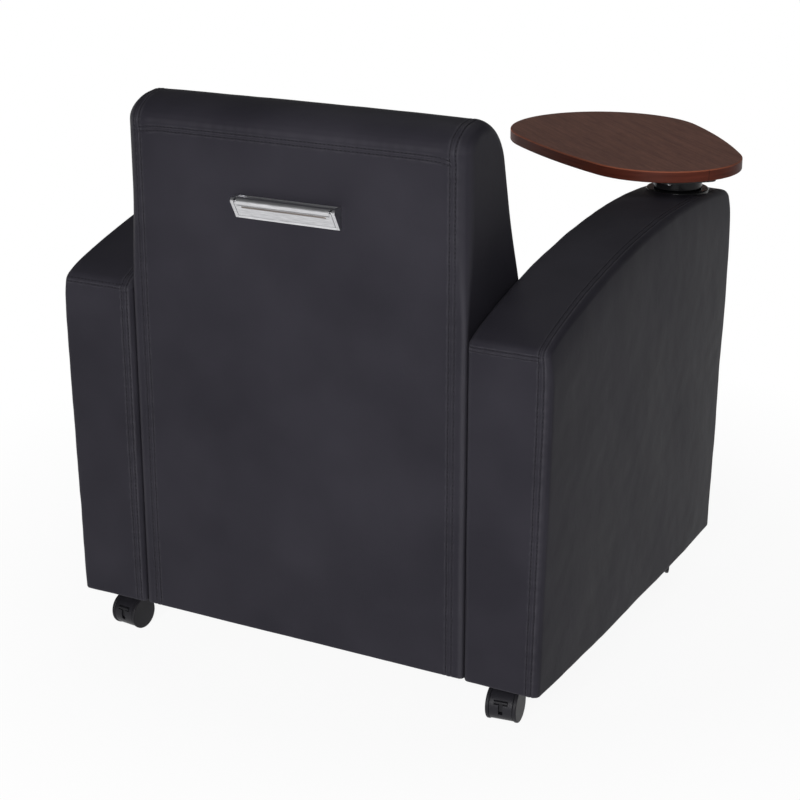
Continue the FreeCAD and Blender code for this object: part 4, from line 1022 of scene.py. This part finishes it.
links.new(lines.outputs["Fac"], outlet.inputs["Lines"])


def metal(name, dark, pale, smooth, rough, stretch):
    # Plated or drawn metal, brushed along X by the stretch.
    made, nodes, links, shader = new_material(name)
    shader.inputs["Metallic"].default_value = 1.0
    brush = nodes.new("ShaderNodeGroup")
    brush.node_tree = drawn_grain
    brush.inputs["Stretch"].default_value = (1.0, stretch, stretch)
    brush.inputs["Scale"].default_value = 60.0
    brush.inputs["Detail"].default_value = 3.0
    tones = two_tones(nodes, links, brush.outputs["Lines"], dark, pale, 0.3, 0.7)
    gloss = span(nodes, links, brush.outputs["Lines"], smooth, rough)
    links.new(tones, shader.inputs["Base Color"])
    links.new(gloss, shader.inputs["Roughness"])
    return made


bright_plate = metal("bright_plate", (0.46, 0.46, 0.475), (0.76, 0.76, 0.78), 0.26, 0.38, 30.0)
# The bead's dark brown tint is painted shade for the shadow line under it.
bead_painted_shade = metal("bead_painted_shade", (0.17, 0.145, 0.135), (0.27, 0.24, 0.22), 0.30, 0.42, 12.0)
dress(["handle_tray", "handle_grip"], bright_plate)
grip_low, grip_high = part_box("handle_grip")
grip_radius = 0.006
grip_plate = 0.0025
bead_half = 0.066
bead_radius = 0.0017
bead_share = 0.34
bead_sink_share = 0.4
bead_sides = 12
bead_end_lines = 6
blade_top = Vector((0, grip_high.y, grip_high.z - grip_radius))
blade_foot = Vector((0, grip_low.y + grip_plate, grip_low.z))
bead_middle = blade_top.lerp(blade_foot, bead_share)
bead_middle.x = (grip_low.x + grip_high.x) / 2
blade_way = (blade_foot - blade_top).normalized()
blade_out = Vector((1, 0, 0)).cross(blade_way)
turns = np.linspace(0, math.pi / 2, bead_end_lines)
bead_sink = blade_out * bead_radius * bead_sink_share
spine = np.concatenate([-bead_half - bead_radius * np.cos(turns), bead_half + bead_radius * np.sin(turns)])
girth = bead_radius * np.concatenate([np.sin(turns), np.cos(turns)])
points = []
for along, thick in zip(spine, girth):
    for k in range(bead_sides):
        angle = 2 * math.pi * k / bead_sides
        out = blade_out * math.sin(angle) + blade_way * math.cos(angle)
        points.append(bead_middle + Vector((along, 0, 0)) + out * thick - bead_sink)
index = np.arange(len(points)).reshape(-1, bead_sides)
beside = np.roll(index, -1, axis=1)
faces = np.stack([index[:-1], beside[:-1], beside[1:], index[1:]], axis=-1).reshape(-1, 4)
grip_bead = skin_piece("handle_grip_bead", np.array(points), faces, bead_painted_shade)
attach(grip_bead, "handle_grip")

# Fasteners, springs and bushes
# Zinc-plated screws, bolts, nuts, axles, spindle and castor plates, the wires of the seat's springs, the
# black-painted plate under the tablet, and nylon bushes and spring clips.
zinc = metal("zinc_steel", (0.42, 0.42, 0.43), (0.62, 0.62, 0.63), 0.28, 0.42, 3.0)
dress(["handle_pin", "handle_screws", "frame_bolts", "frame_nuts", "frame_screws", "caster_plates"], zinc)
dress(["tablet_screws", "tablet_spindle", "pivot_socket"], zinc)
dress([corner + "_caster_axle" for corner in corners], zinc)
spring_steel = metal("spring_steel", (0.22, 0.22, 0.23), (0.36, 0.36, 0.37), 0.35, 0.5, 3.0)
dress(["seat_springs"], spring_steel)
black_paint = moulded("black_paint", (0.017, 0.017, 0.017), 0.38, 0.5, 600.0, 0.0002)
dress(["tablet_plate"], black_paint)
nylon = moulded("natural_nylon", (0.64, 0.63, 0.59), 0.4, 0.5, 500.0, 0.0002)
dress(["pivot_bushes", "seat_spring_clips"], nylon)

# Wooden frame and webbing inside the upholstery
# Plywood panels and softwood rails, glued and screwed, with woven elastic straps across the back.


def timber(name, dark, pale, axis_scale):
    # Sawn wood with its grain along one axis. Woven straps get their threads the same way.
    made, nodes, links, shader = new_material(name)
    shader.inputs["Roughness"].default_value = 0.7
    rings = nodes.new("ShaderNodeGroup")
    rings.node_tree = drawn_grain
    rings.inputs["Stretch"].default_value = axis_scale
    rings.inputs["Scale"].default_value = 12.0
    rings.inputs["Detail"].default_value = 5.0
    tones = two_tones(nodes, links, rings.outputs["Lines"], dark, pale, 0.32, 0.68)
    links.new(tones, shader.inputs["Base Color"])
    return made


plywood = timber("plywood", (0.42, 0.29, 0.17), (0.62, 0.47, 0.30), (6.0, 1.0, 6.0))
softwood = timber("softwood", (0.50, 0.36, 0.21), (0.70, 0.54, 0.35), (6.0, 1.0, 6.0))
dress(["left_arm_panels", "right_arm_panels", "back_panel"], plywood)
dress(["left_arm_rails", "right_arm_rails", "back_frame", "seat_rails"], softwood)
dress(["seat_corner_blocks", "pivot_block"], softwood)
webbing = timber("elastic_webbing", (0.10, 0.085, 0.07), (0.24, 0.20, 0.16), (1.0, 30.0, 30.0))
dress(["back_webbing"], webbing)
